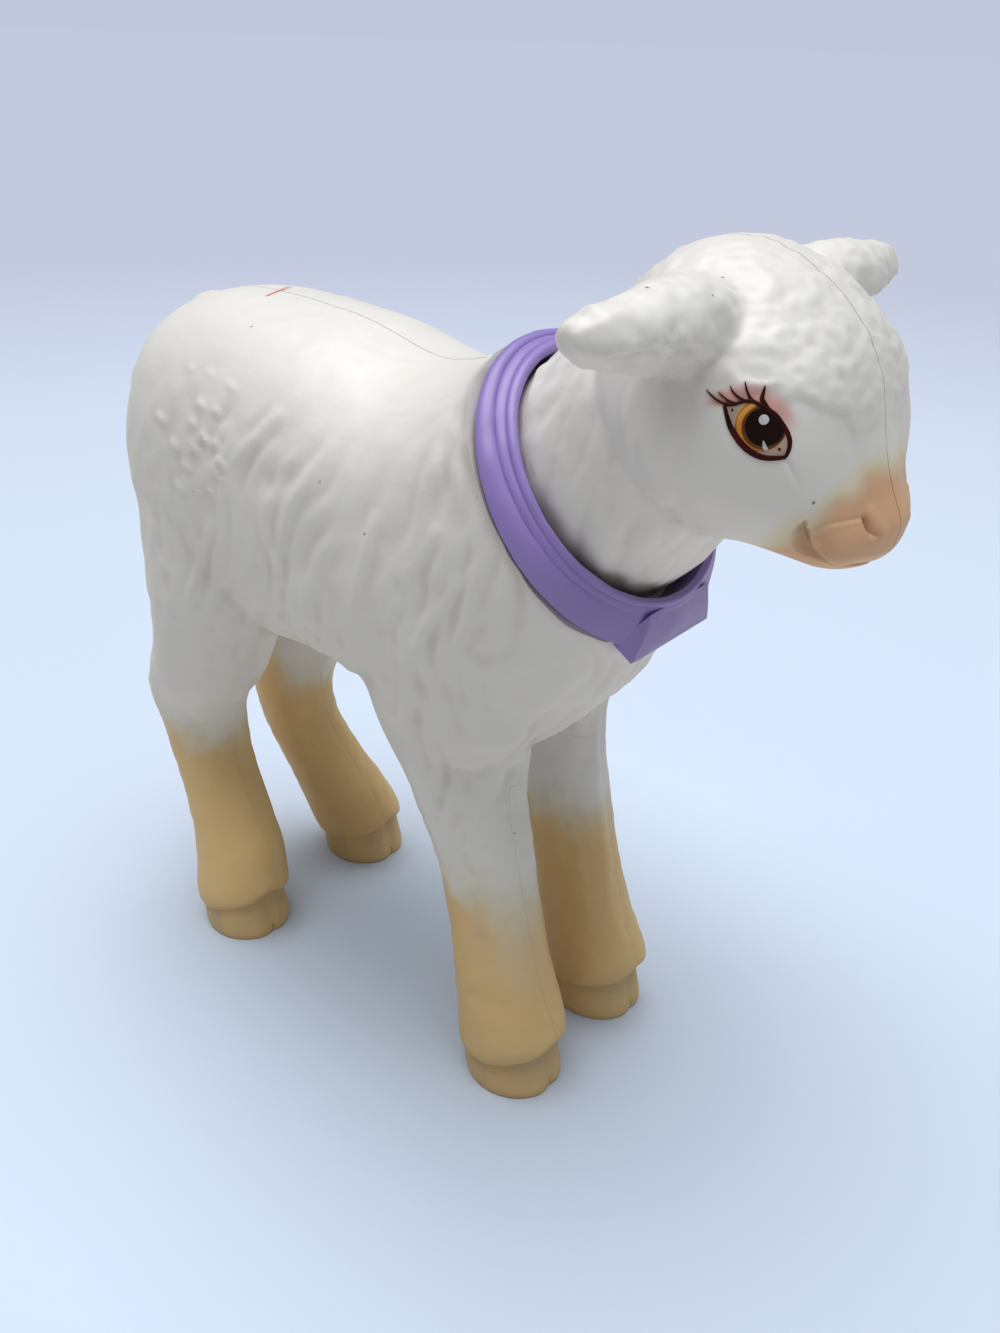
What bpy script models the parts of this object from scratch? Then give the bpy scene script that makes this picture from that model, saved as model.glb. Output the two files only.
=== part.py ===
"""Standing toy lamb of hollow moulded shells: trunk halves, inner leg shells, head halves, collar."""

from math import atan2, cos, pi, radians, sin

import bmesh
import bpy
from mathutils import Matrix, Vector

# Driving dimensions in metres: x runs to the nose, y to the animal's left, z up from the soles
LENGTH = 0.146
HEIGHT = 0.148
WIDTH = 0.056
EAR_SPAN = 0.078
WALL = 0.0022
PARTING_GAP = 0.0003
OVERRUN = 0.08

# Surface fineness
OUTER_VOXEL = 0.0012
CAVITY_VOXEL = 0.0020
SMOOTH_PASSES = 7
TRUNK_FACE_SHARE = 0.055
HEAD_FACE_SHARE = 0.085
CAVITY_FACE_SHARE = 0.050
SECTION_SIDES = 28
ROUND_SIDES = 40
STEPS_PER_SPAN = 4
TRUNK_SQUARENESS = 2.3
LIMB_SQUARENESS = 2.0

# Stations are pairs of profile points with a middle and a half width:
# front x, front z, back x, back z, middle y, half width, as shares of length, height and width
TRUNK_SHARES = [
    (-0.453, 0.716, -0.451, 0.622, 0.000, 0.143),
    (-0.447, 0.787, -0.440, 0.541, 0.000, 0.330),
    (-0.417, 0.845, -0.403, 0.493, 0.000, 0.434),
    (-0.352, 0.866, -0.342, 0.463, 0.000, 0.479),
    (-0.260, 0.868, -0.239, 0.456, 0.000, 0.487),
    (-0.143, 0.858, -0.123, 0.453, 0.000, 0.496),
    (-0.040, 0.835, 0.014, 0.436, 0.000, 0.496),
    (0.028, 0.845, 0.131, 0.419, 0.000, 0.482),
    (0.073, 0.865, 0.220, 0.514, 0.000, 0.455),
    (0.100, 0.886, 0.282, 0.615, 0.000, 0.432),
    (0.131, 0.909, 0.326, 0.652, 0.000, 0.418),
]
FRONT_LEG_SHARES = [
    (0.235, 0.064, 0.109, 0.031, 0.232, 0.154),
    (0.239, 0.080, 0.103, 0.046, 0.232, 0.164),
    (0.228, 0.115, 0.097, 0.088, 0.232, 0.159),
    (0.210, 0.169, 0.088, 0.149, 0.232, 0.145),
    (0.194, 0.236, 0.075, 0.223, 0.232, 0.136),
    (0.180, 0.304, 0.055, 0.297, 0.232, 0.141),
    (0.168, 0.365, 0.025, 0.365, 0.236, 0.155),
    (0.165, 0.419, -0.016, 0.432, 0.243, 0.164),
    (0.179, 0.486, -0.047, 0.500, 0.257, 0.189),
    (0.192, 0.568, -0.061, 0.568, 0.255, 0.207),
    (0.165, 0.655, -0.040, 0.655, 0.241, 0.179),
]
HIND_LEG_SHARES = [
    (-0.249, 0.058, -0.371, 0.024, 0.312, 0.150),
    (-0.247, 0.073, -0.379, 0.039, 0.307, 0.161),
    (-0.262, 0.115, -0.400, 0.088, 0.271, 0.154),
    (-0.294, 0.162, -0.423, 0.149, 0.241, 0.141),
    (-0.325, 0.216, -0.445, 0.209, 0.220, 0.136),
    (-0.335, 0.270, -0.460, 0.277, 0.218, 0.141),
    (-0.321, 0.324, -0.475, 0.338, 0.232, 0.159),
    (-0.280, 0.385, -0.462, 0.399, 0.259, 0.184),
    (-0.239, 0.459, -0.447, 0.473, 0.277, 0.205),
    (-0.205, 0.541, -0.446, 0.554, 0.277, 0.214),
    (-0.205, 0.642, -0.447, 0.655, 0.250, 0.218),
    (-0.246, 0.730, -0.431, 0.743, 0.232, 0.161),
]
TAIL_SHARES = [
    (-0.390, 0.855, -0.369, 0.770, 0.000, 0.080),
    (-0.448, 0.845, -0.407, 0.750, 0.000, 0.104),
    (-0.484, 0.791, -0.438, 0.703, 0.000, 0.111),
    (-0.498, 0.703, -0.448, 0.662, 0.000, 0.114),
    (-0.496, 0.595, -0.448, 0.588, 0.000, 0.107),
    (-0.482, 0.551, -0.451, 0.551, 0.000, 0.068),
]
NECK_SHARES = [
    (0.118, 0.859, 0.268, 0.663, 0.000, 0.345),
    (0.140, 0.876, 0.288, 0.680, 0.000, 0.346),
    (0.172, 0.899, 0.313, 0.699, 0.000, 0.343),
    (0.220, 0.935, 0.343, 0.726, 0.000, 0.332),
    (0.275, 0.959, 0.377, 0.757, 0.000, 0.304),
]
HEAD_SHARES = [
    (0.210, 0.912, 0.247, 0.818, 0.000, 0.161),
    (0.240, 0.963, 0.275, 0.770, 0.000, 0.304),
    (0.288, 0.995, 0.319, 0.742, 0.000, 0.375),
    (0.343, 0.997, 0.364, 0.734, 0.000, 0.393),
    (0.398, 0.976, 0.401, 0.735, 0.000, 0.375),
    (0.439, 0.941, 0.429, 0.736, 0.000, 0.329),
    (0.464, 0.899, 0.446, 0.736, 0.000, 0.275),
    (0.475, 0.851, 0.465, 0.736, 0.000, 0.225),
    (0.487, 0.815, 0.480, 0.739, 0.000, 0.229),
    (0.498, 0.794, 0.488, 0.745, 0.000, 0.204),
    (0.503, 0.783, 0.497, 0.754, 0.000, 0.154),
]
# Upper edge x, y, z, lower edge x, y, z and half thickness, as shares of length, ear span and height
EAR_SHARES = [
    (0.295, 0.115, 0.953, 0.343, 0.115, 0.885, 0.064),
    (0.316, 0.192, 0.976, 0.357, 0.192, 0.899, 0.072),
    (0.329, 0.263, 0.981, 0.355, 0.256, 0.904, 0.067),
    (0.331, 0.321, 0.977, 0.349, 0.314, 0.908, 0.059),
    (0.328, 0.397, 0.965, 0.340, 0.391, 0.919, 0.049),
    (0.327, 0.462, 0.959, 0.334, 0.458, 0.932, 0.035),
    (0.325, 0.499, 0.953, 0.327, 0.497, 0.944, 0.017),
]

# Neck joint: the head turns about the neck's own axis at the collar's front rim
NECK_X_SHARE = 0.2116
NECK_Z_SHARE = 0.7649
NECK_TILT = radians(53.2)
COLLAR_BORE_RADIUS = 0.0200
COLLAR_BACK_RADIUS = 0.0242
COLLAR_CHEST_RADIUS = 0.0256
COLLAR_DEPTH = 0.0054
COLLAR_SLANT_SHARE = 0.03
COLLAR_LIP = 0.0026
COLLAR_RIM = 0.0005
COLLAR_BACK_STEP = 0.0007
COLLAR_GROOVES_AT_BACK = (0.0216, 0.0228)
COLLAR_GROOVES_AT_CHEST = (0.0224, 0.0236)
COLLAR_BAND_LIFTS = (0.00035, 0.00025, 0.00030)
BAND_SHARES = (0.2, 0.5, 0.8)
SEAT_WALL = 0.0020
SEAT_CLEARANCE = 0.0003
SEAT_SINK = 0.0060
NECK_RADIUS = 0.0172
SKIRT_RADIUS = 0.0195
SKIRT_DEPTH = 0.0024
SKIRT_FRONT = 0.0004
LIP_FRONT = 0.0072
LIP_THICKNESS = 0.0024
LIP_BORE_RADIUS = 0.0150
TURN_CLEARANCE = 0.0005
FLANGE_RADIUS = 0.0175
FLANGE_THICKNESS = 0.0022
PLUG_WALL = 0.0022
NECK_OVERLAP = 0.0040

# Tag at the lowest point of the collar: distance down the chest, half width and height of its corners
TAG_TOP = (0.0207, 0.0080, -0.0006)
TAG_CREASE = (0.0232, 0.0086, -0.0026)
TAG_FOOT_HALF_WIDTH = 0.0107
TAG_FOOT = 0.0262
TAG_SHOULDER_HALF_WIDTH = 0.0126
TAG_SHOULDER = 0.0221

# Hooves
HOOF_LENGTH = 0.0186
HOOF_WIDTH = 0.0172
HOOF_HEIGHT = 0.0130
HOOF_TOP_SHARE = 0.86
HOOF_LEAN_SHARE = 0.10
SOLE_THICKNESS = 0.0030
HOOF_RING_SHARES = ((0, 0.95), (0.12, 1), (0.5, 1), (1, 1))
CLEFT_HALF_WIDTH = 0.0009
CLEFT_DEPTH = 0.0030
CLEFT_HEIGHT_SHARE = 0.80
FRONT_HOOF_SHARES = (0.174, 0.232)
HIND_HOOF_SHARES = (-0.305, 0.312)
FRONT_TOE_OUT = radians(0)
HIND_TOE_OUT = radians(3)

# Inner leg shells: split plane through the leg and the height where they meet the belly
FRONT_SPLIT_SHARE = 0.232
HIND_SPLIT_SHARES = (0.312, 0.214)
HIND_SPLIT_RISE_SHARE = 0.274
FRONT_TOP_SHARE = 0.405
HIND_TOP_SHARE = 0.390
LEG_DIVIDE_SHARE = -0.136

# Pins and sockets that line up the halves
PIN_RADIUS = 0.0013
PIN_LENGTH = 0.0030
PIN_CLEARANCE = 0.0002
BOSS_RADIUS = 0.0032
PIN_SIDES = 12
TRUNK_PIN_SHARES = [(-0.38, 0.71), (-0.09, 0.79), (0.05, 0.53)]
HEAD_PIN_SHARES = [(0.364, 0.912), (0.403, 0.79)]

SHELL_WHITE = (0.86, 0.85, 0.82, 1.0)
COLLAR_LILAC = (0.36, 0.25, 0.62, 1.0)
SHELL_ROUGHNESS = 0.42
COLLAR_ROUGHNESS = 0.38
CREASE_ANGLE = radians(40)


def clear_scene():
    for obj in list(bpy.data.objects):
        bpy.data.objects.remove(obj, do_unlink=True)


def plastic(name, colour, roughness):
    material = bpy.data.materials.new(name)
    material.use_nodes = True
    shader = material.node_tree.nodes["Principled BSDF"]
    shader.inputs["Base Color"].default_value = colour
    shader.inputs["Roughness"].default_value = roughness
    shader.inputs["Metallic"].default_value = 0.0
    return material


def add_object(name, mesh, material=None):
    obj = bpy.data.objects.new(name, mesh)
    bpy.context.collection.objects.link(obj)
    if material:
        mesh.materials.clear()
        mesh.materials.append(material)
    return obj


def baked(obj):
    """Return the evaluated mesh of a helper object and remove the object."""
    bpy.context.view_layer.update()
    graph = bpy.context.evaluated_depsgraph_get()
    mesh = bpy.data.meshes.new_from_object(obj.evaluated_get(graph), depsgraph=graph)
    bpy.data.objects.remove(obj, do_unlink=True)
    return mesh


def combine(mesh, operation, tool):
    """Boolean of two closed meshes: DIFFERENCE, UNION or INTERSECT."""
    base_obj = add_object("base", mesh)
    tool_obj = add_object("tool", tool)
    modifier = base_obj.modifiers.new("combine", "BOOLEAN")
    modifier.operation = operation
    modifier.object = tool_obj
    result = baked(base_obj)
    bpy.data.objects.remove(tool_obj, do_unlink=True)
    return result


def cut(mesh, tool):
    return combine(mesh, "DIFFERENCE", tool)


def join(mesh, tool):
    return combine(mesh, "UNION", tool)


def keep(mesh, tool):
    return combine(mesh, "INTERSECT", tool)


def mesh_from(build):
    """Make a mesh from a function that fills a bmesh."""
    bm = bmesh.new()
    build(bm)
    bmesh.ops.recalc_face_normals(bm, faces=bm.faces)
    mesh = bpy.data.meshes.new("form")
    bm.to_mesh(mesh)
    bm.free()
    return mesh


def box(low, high, turn=None):
    """Closed box between two corners, turned about the origin if asked."""
    def build(bm):
        size = Vector(high) - Vector(low)
        middle = (Vector(high) + Vector(low)) / 2
        place = Matrix.Translation(middle) @ Matrix.Diagonal((*size, 1))
        bmesh.ops.create_cube(bm, size=1, matrix=place)
    mesh = mesh_from(build)
    if turn:
        mesh.transform(turn)
    return mesh


def neck_centre():
    return Vector((NECK_X_SHARE * LENGTH, 0, NECK_Z_SHARE * HEIGHT))


def neck_frame():
    """Frame at the collar's front rim whose z axis is the neck axis and whose x axis runs down the chest."""
    axis = Vector((sin(NECK_TILT), 0, cos(NECK_TILT)))
    down = Vector((cos(NECK_TILT), 0, -sin(NECK_TILT)))
    side = axis.cross(down)
    frame = Matrix((down, side, axis)).transposed().to_4x4()
    return Matrix.Translation(neck_centre()) @ frame


def neck_turned(section):
    """Ring about the neck axis: section gives its closed outline of radius and height at an angle."""
    def build(bm):
        columns = []
        for index in range(ROUND_SIDES):
            angle = 2 * pi * index / ROUND_SIDES
            outline = section(angle)
            columns.append([bm.verts.new((radius * cos(angle), radius * sin(angle), height))
                            for radius, height in outline])
        for first, second in zip(columns, columns[1:] + columns[:1]):
            bridge(bm, first, second)
    mesh = mesh_from(build)
    mesh.transform(neck_frame())
    return mesh


def neck_cylinder(radius, low, high):
    """Closed cylinder on the neck axis."""
    def build(bm):
        rings = []
        for height in (low, high):
            ring = []
            for index in range(ROUND_SIDES):
                angle = 2 * pi * index / ROUND_SIDES
                ring.append(bm.verts.new((radius * cos(angle), radius * sin(angle), height)))
            rings.append(ring)
        bridge(bm, rings[0], rings[1])
        bm.faces.new(rings[0])
        bm.faces.new(rings[1])
    mesh = mesh_from(build)
    mesh.transform(neck_frame())
    return mesh


def bridge(bm, first, second):
    count = len(first)
    for index in range(count):
        after = (index + 1) % count
        bm.faces.new((first[index], first[after], second[after], second[index]))


def profile_station(shares, side=1):
    """Front and back points and half width of one station, in metres."""
    front_x, front_z, back_x, back_z, middle, half_width = shares
    y = side * middle * WIDTH
    front = Vector((front_x * LENGTH, y, front_z * HEIGHT))
    back = Vector((back_x * LENGTH, y, back_z * HEIGHT))
    return front, back, half_width * WIDTH


def ear_station(shares, side):
    upper = Vector((shares[0] * LENGTH, side * shares[1] * EAR_SPAN, shares[2] * HEIGHT))
    lower = Vector((shares[3] * LENGTH, side * shares[4] * EAR_SPAN, shares[5] * HEIGHT))
    return upper, lower, shares[6] * EAR_SPAN


def smooth_value(before, start, end, after, t):
    """Catmull-Rom value between start and end."""
    slope_in = (end - before) / 2
    slope_out = (after - start) / 2
    blend = t * t * (3 - 2 * t)
    rise_in = t * (1 - t) * (1 - t)
    rise_out = t * t * (t - 1)
    return start * (1 - blend) + end * blend + slope_in * rise_in + slope_out * rise_out


def refine(stations):
    """Smooth extra stations between the given ones."""
    rows = []
    last = len(stations) - 1
    for index in range(last):
        picks = [stations[max(index - 1, 0)], stations[index],
                 stations[index + 1], stations[min(index + 2, last)]]
        for step in range(STEPS_PER_SPAN):
            t = step / STEPS_PER_SPAN
            rows.append(tuple(smooth_value(*(pick[part] for pick in picks), t) for part in range(3)))
    rows.append(stations[last])
    return rows


def pulled_in(rows, inset):
    """Rows of a form that lies inset under the skin of the given one."""
    middles = [(front + back) / 2 for front, back, _ in rows]
    run = [0.0]
    for first, second in zip(middles, middles[1:]):
        run.append(run[-1] + (second - first).length)
    inner = []
    for (front, back, half_width), middle, distance in zip(rows, middles, run):
        depth = (front - back).length / 2
        inside = inset < distance < run[-1] - inset
        if inside and depth > 2 * inset and half_width > 2 * inset:
            reach = (front - back) / 2 * (1 - inset / depth)
            inner.append((middle + reach, middle - reach, half_width - inset))
    return inner


def rounded(value, squareness):
    """Cosine or sine pushed out towards a square section."""
    return (1 if value > 0 else -1) * abs(value) ** (2 / squareness)


def loft(bm, rows, squareness):
    """Closed skin through oval sections, each set across the line of the middles."""
    middles = [(front + back) / 2 for front, back, _ in rows]
    rings = []
    for index, (front, back, half_width) in enumerate(rows):
        ahead = middles[min(index + 1, len(rows) - 1)]
        behind = middles[max(index - 1, 0)]
        reach = (front - back) / 2
        across = (ahead - behind).cross(reach).normalized() * half_width
        ring = []
        for side in range(SECTION_SIDES):
            angle = 2 * pi * side / SECTION_SIDES
            along = reach * rounded(cos(angle), squareness)
            beside = across * rounded(sin(angle), squareness)
            ring.append(bm.verts.new(middles[index] + along + beside))
        rings.append(ring)
    for first, second in zip(rings, rings[1:]):
        bridge(bm, first, second)
    for ring, middle in ((rings[0], middles[0]), (rings[-1], middles[-1])):
        pole = bm.verts.new(middle)
        for index in range(SECTION_SIDES):
            bm.faces.new((pole, ring[index], ring[(index + 1) % SECTION_SIDES]))


def blended(forms, inset, voxel, face_share):
    """One closed skin over several lofted forms, melted together where they meet."""
    mesh = bpy.data.meshes.new("blend")
    gathered = bmesh.new()
    for rows, squareness in forms:
        if inset:
            rows = pulled_in(rows, inset)
        if len(rows) > 2:
            part = bmesh.new()
            loft(part, rows, squareness)
            bmesh.ops.recalc_face_normals(part, faces=part.faces)
            part.to_mesh(mesh)
            part.free()
            gathered.from_mesh(mesh)
    gathered.to_mesh(mesh)
    gathered.free()
    obj = add_object("blend", mesh)
    remesh = obj.modifiers.new("melt", "REMESH")
    remesh.mode = "VOXEL"
    remesh.voxel_size = voxel
    smooth = obj.modifiers.new("smooth", "SMOOTH")
    smooth.iterations = SMOOTH_PASSES
    thin = obj.modifiers.new("thin", "DECIMATE")
    thin.ratio = face_share
    return baked(obj)


def trunk_forms():
    forms = [(refine([profile_station(row) for row in TRUNK_SHARES]), TRUNK_SQUARENESS),
             (refine([profile_station(row) for row in TAIL_SHARES]), LIMB_SQUARENESS)]
    for side in (-1, 1):
        for shares in (FRONT_LEG_SHARES, HIND_LEG_SHARES):
            forms.append((refine([profile_station(row, side) for row in shares]), LIMB_SQUARENESS))
    return forms


def head_forms():
    forms = []
    for shares in (HEAD_SHARES, NECK_SHARES):
        forms.append((refine([profile_station(row) for row in shares]), LIMB_SQUARENESS))
    for side in (-1, 1):
        forms.append((refine([ear_station(row, side) for row in EAR_SHARES]), LIMB_SQUARENESS))
    return forms


def hoof(side, place, toe_out):
    """Hoof block with a flat sole, leaning back as it rises, cleft between its toes."""
    x_share, y_share = place
    turn = Matrix.Translation((x_share * LENGTH, side * y_share * WIDTH, 0))
    turn = turn @ Matrix.Rotation(side * toe_out, 4, "Z")

    def build(bm):
        rings = []
        for rise_share, swell_share in HOOF_RING_SHARES:
            foot_share = (1 - (1 - HOOF_TOP_SHARE) * rise_share) * swell_share
            lean = HOOF_LEAN_SHARE * HOOF_LENGTH * rise_share
            ring = []
            for index in range(SECTION_SIDES):
                angle = 2 * pi * index / SECTION_SIDES
                across = HOOF_WIDTH / 2 * foot_share * sin(angle)
                along = HOOF_LENGTH / 2 * foot_share * cos(angle) - lean
                ring.append(bm.verts.new((along, across, rise_share * HOOF_HEIGHT)))
            rings.append(ring)
        for first, second in zip(rings, rings[1:]):
            bridge(bm, first, second)
        bm.faces.new(rings[0])
        bm.faces.new(rings[-1])

    block = mesh_from(build)
    block.transform(turn)
    return block


def cleft(side, place, toe_out):
    """Wedge that parts the two toes at the front of a hoof."""
    x_share, y_share = place
    turn = Matrix.Translation((x_share * LENGTH, side * y_share * WIDTH, 0))
    turn = turn @ Matrix.Rotation(side * toe_out, 4, "Z")
    tip = HOOF_LENGTH / 2
    tail = tip - CLEFT_DEPTH

    def build(bm):
        rings = []
        for z in (-HOOF_HEIGHT, HOOF_HEIGHT * CLEFT_HEIGHT_SHARE):
            ring = [bm.verts.new((tail, 0, z)),
                    bm.verts.new((tip + CLEFT_DEPTH, -2 * CLEFT_HALF_WIDTH, z)),
                    bm.verts.new((tip + CLEFT_DEPTH, 2 * CLEFT_HALF_WIDTH, z))]
            rings.append(ring)
        bridge(bm, rings[0], rings[1])
        bm.faces.new(rings[0])
        bm.faces.new(rings[1])

    wedge = mesh_from(build)
    wedge.transform(turn)
    return wedge


def hooves():
    for side in (-1, 1):
        yield side, FRONT_HOOF_SHARES, FRONT_TOE_OUT
        yield side, HIND_HOOF_SHARES, HIND_TOE_OUT


def pin_at(place, radius, low, high):
    """Cylinder across the parting plane at a share of length and height."""
    x, z = place[0] * LENGTH, place[1] * HEIGHT

    def build(bm):
        stand = Matrix.Translation((x, (low + high) / 2, z)) @ Matrix.Rotation(pi / 2, 4, "X")
        bmesh.ops.create_cone(bm, cap_ends=True, segments=PIN_SIDES, radius1=radius, radius2=radius,
                              depth=high - low, matrix=stand)
    return mesh_from(build)


def half_space(side):
    """Block on one side of the parting plane, half the parting gap away from it."""
    near, far = PARTING_GAP / 2, OVERRUN
    low_y, high_y = (near, far) if side > 0 else (-far, -near)
    return box((-LENGTH, low_y, -OVERRUN), (LENGTH, high_y, 2 * HEIGHT))


def leg_block(side, front, gap):
    """Block that holds the inner half of one leg, gap smaller all round."""
    if front:
        top, tilt = FRONT_TOP_SHARE * HEIGHT, 0
        x_low, x_high = LEG_DIVIDE_SHARE * LENGTH, LENGTH
        base = FRONT_SPLIT_SHARE * WIDTH
    else:
        base, hock_y = (share * WIDTH for share in HIND_SPLIT_SHARES)
        top = HIND_TOP_SHARE * HEIGHT
        tilt = atan2(base - hock_y, HIND_SPLIT_RISE_SHARE * HEIGHT)
        x_low, x_high = -LENGTH, LEG_DIVIDE_SHARE * LENGTH
    reach = base - gap
    inner = PARTING_GAP / 2
    lean = Matrix.Translation((0, side * reach, 0)) @ Matrix.Rotation(side * tilt, 4, "X")
    y_low, y_high = (-OVERRUN, 0) if side > 0 else (0, OVERRUN)
    slab = box((x_low, y_low, -OVERRUN), (x_high, y_high, 2 * HEIGHT), lean)
    trim_y = (inner, OVERRUN) if side > 0 else (-OVERRUN, -inner)
    trim = box((x_low, trim_y[0], -OVERRUN), (x_high, trim_y[1], top - gap))
    return keep(slab, trim)


def space_before_collar_back():
    """Block ahead of the slanted plane that the collar's back lies on."""
    block = box((-OVERRUN, -OVERRUN, 0), (OVERRUN, OVERRUN, OVERRUN))
    slant = Matrix.Rotation(atan2(COLLAR_SLANT_SHARE, 1), 4, "Y")
    block.transform(neck_frame() @ Matrix.Translation((0, 0, -COLLAR_DEPTH)) @ slant)
    return block


def trunk_skin():
    """Outer skin of trunk and legs with crisp hooves and a round seat for the collar."""
    skin = blended(trunk_forms(), 0, OUTER_VOXEL, TRUNK_FACE_SHARE)
    skin = cut(skin, space_before_collar_back())
    seat = neck_cylinder(COLLAR_BORE_RADIUS + SEAT_WALL, -COLLAR_DEPTH - SEAT_SINK,
                         -COLLAR_LIP - SEAT_CLEARANCE)
    skin = join(skin, seat)
    for side, place, toe_out in hooves():
        skin = join(skin, hoof(side, place, toe_out))
    for side, place, toe_out in hooves():
        skin = cut(skin, cleft(side, place, toe_out))
    floor = box((-LENGTH, -OVERRUN, -OVERRUN), (LENGTH, OVERRUN, 0))
    return cut(skin, floor)


def trunk_cavity():
    """Hollow of trunk and legs, stopped by the lip and the soles, around the pin bosses."""
    hollow = blended(trunk_forms(), WALL, CAVITY_VOXEL, CAVITY_FACE_SHARE)
    lip_back = -LIP_FRONT - LIP_THICKNESS
    hollow = cut(hollow, neck_cylinder(OVERRUN, lip_back, OVERRUN))
    sole = box((-LENGTH, -OVERRUN, -OVERRUN), (LENGTH, OVERRUN, SOLE_THICKNESS))
    hollow = cut(hollow, sole)
    for place in TRUNK_PIN_SHARES:
        hollow = cut(hollow, pin_at(place, BOSS_RADIUS, -OVERRUN, OVERRUN))
    recess = neck_cylinder(COLLAR_BORE_RADIUS, -LIP_FRONT, OVERRUN)
    room = neck_cylinder(FLANGE_RADIUS + TURN_CLEARANCE, lip_back - FLANGE_THICKNESS - NECK_OVERLAP,
                         lip_back)
    bore = neck_cylinder(LIP_BORE_RADIUS + TURN_CLEARANCE, lip_back - NECK_OVERLAP, OVERRUN)
    return join(join(join(hollow, room), recess), bore)


def with_pins(mesh, side, places):
    """Pins on the left half, sockets in the right half's bosses."""
    for place in places:
        if side > 0:
            mesh = join(mesh, pin_at(place, PIN_RADIUS, -PIN_LENGTH, 2 * PIN_LENGTH))
        else:
            socket = pin_at(place, PIN_RADIUS + PIN_CLEARANCE, -2 * PIN_LENGTH, OVERRUN)
            mesh = cut(mesh, socket)
    return mesh


def trunk_shell(side, skin, cavity):
    half = keep(skin.copy(), half_space(side))
    for front in (True, False):
        half = cut(half, leg_block(side, front, -PARTING_GAP / 2))
    half = cut(half, cavity.copy())
    return with_pins(half, side, TRUNK_PIN_SHARES)


def leg_inner_shell(side, front, skin, cavity):
    inner = keep(skin.copy(), leg_block(side, front, PARTING_GAP / 2))
    return cut(inner, cavity.copy())


def head_skin():
    """Outer skin of head and ears, its neck skirt inside the collar, and the round plug that turns."""
    skin = blended(head_forms(), 0, OUTER_VOXEL, HEAD_FACE_SHARE)
    skin = cut(skin, neck_cylinder(OVERRUN, -OVERRUN, -SKIRT_DEPTH))
    around = [(SKIRT_RADIUS, -NECK_OVERLAP), (SKIRT_RADIUS, SKIRT_FRONT),
              (OVERRUN, SKIRT_FRONT), (OVERRUN, -NECK_OVERLAP)]
    skin = cut(skin, neck_turned(lambda angle: around))
    shoulder = -LIP_FRONT + TURN_CLEARANCE
    skin = join(skin, neck_cylinder(NECK_RADIUS, shoulder, NECK_OVERLAP))
    flange_front = -LIP_FRONT - LIP_THICKNESS - TURN_CLEARANCE
    flange_back = flange_front - FLANGE_THICKNESS
    skin = join(skin, neck_cylinder(LIP_BORE_RADIUS, flange_back, NECK_OVERLAP))
    return join(skin, neck_cylinder(FLANGE_RADIUS, flange_back, flange_front))


def head_cavity():
    """Hollow of head and neck, open at the back of the plug, around the pin bosses."""
    hollow = blended(head_forms(), WALL, CAVITY_VOXEL, CAVITY_FACE_SHARE)
    for place in HEAD_PIN_SHARES:
        hollow = cut(hollow, pin_at(place, BOSS_RADIUS, -OVERRUN, OVERRUN))
    return join(hollow, neck_cylinder(LIP_BORE_RADIUS - PLUG_WALL, -OVERRUN, NECK_OVERLAP))


def head_shell(side, skin, cavity):
    half = keep(skin.copy(), half_space(side))
    half = cut(half, cavity.copy())
    return with_pins(half, side, HEAD_PIN_SHARES)


def collar_back(radius, angle):
    """Height of the collar's slanted back face."""
    return SEAT_CLEARANCE - COLLAR_DEPTH - COLLAR_SLANT_SHARE * radius * cos(angle)


def collar_section(angle):
    """Outline of the ring at one angle: three raised bands that are broad at the chest."""
    chest_share = (1 + cos(angle)) / 2
    edge_radius = COLLAR_BACK_RADIUS + (COLLAR_CHEST_RADIUS - COLLAR_BACK_RADIUS) * chest_share
    start = Vector((COLLAR_BORE_RADIUS + COLLAR_RIM, 0))
    edge = Vector((edge_radius, collar_back(edge_radius, angle) + COLLAR_BACK_STEP))
    marks = [start]
    for at_back, at_chest in zip(COLLAR_GROOVES_AT_BACK, COLLAR_GROOVES_AT_CHEST):
        radius = at_back + (at_chest - at_back) * chest_share
        marks.append(start.lerp(edge, (radius - start.x) / (edge.x - start.x)))
    marks.append(edge)
    slope = (edge - start).normalized()
    out = Vector((-slope.y, slope.x))
    points = [(COLLAR_BORE_RADIUS, -COLLAR_LIP), (COLLAR_BORE_RADIUS, -COLLAR_RIM), tuple(start)]
    for first, second, lift in zip(marks, marks[1:], COLLAR_BAND_LIFTS):
        points += [tuple(first.lerp(second, share) + out * lift) for share in BAND_SHARES]
        points.append(tuple(second))
    seat_radius = COLLAR_BORE_RADIUS + SEAT_WALL + SEAT_CLEARANCE
    for radius in (edge_radius - COLLAR_BACK_STEP, seat_radius):
        points.append((radius, collar_back(radius, angle)))
    return points + [(seat_radius, -COLLAR_LIP)]


def tag():
    """Faceted tag at the ring's lowest point: two flat faces that meet in a crease."""
    corners = [TAG_TOP, TAG_CREASE]
    for down, half_width in ((TAG_FOOT, TAG_FOOT_HALF_WIDTH), (TAG_SHOULDER, TAG_SHOULDER_HALF_WIDTH)):
        corners.append((down, half_width, collar_back(down, 0)))

    def build(bm):
        for down, half_width, height in corners:
            bm.verts.new((down, half_width, height))
            bm.verts.new((down, -half_width, height))
        bmesh.ops.convex_hull(bm, input=bm.verts)

    mesh = mesh_from(build)
    mesh.transform(neck_frame())
    seat_radius = COLLAR_BORE_RADIUS + SEAT_WALL + SEAT_CLEARANCE
    return cut(mesh, neck_cylinder(seat_radius, -OVERRUN, -COLLAR_LIP))


def shade(mesh):
    mesh.shade_smooth()
    mesh.set_sharp_from_angle(angle=CREASE_ANGLE)


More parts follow.
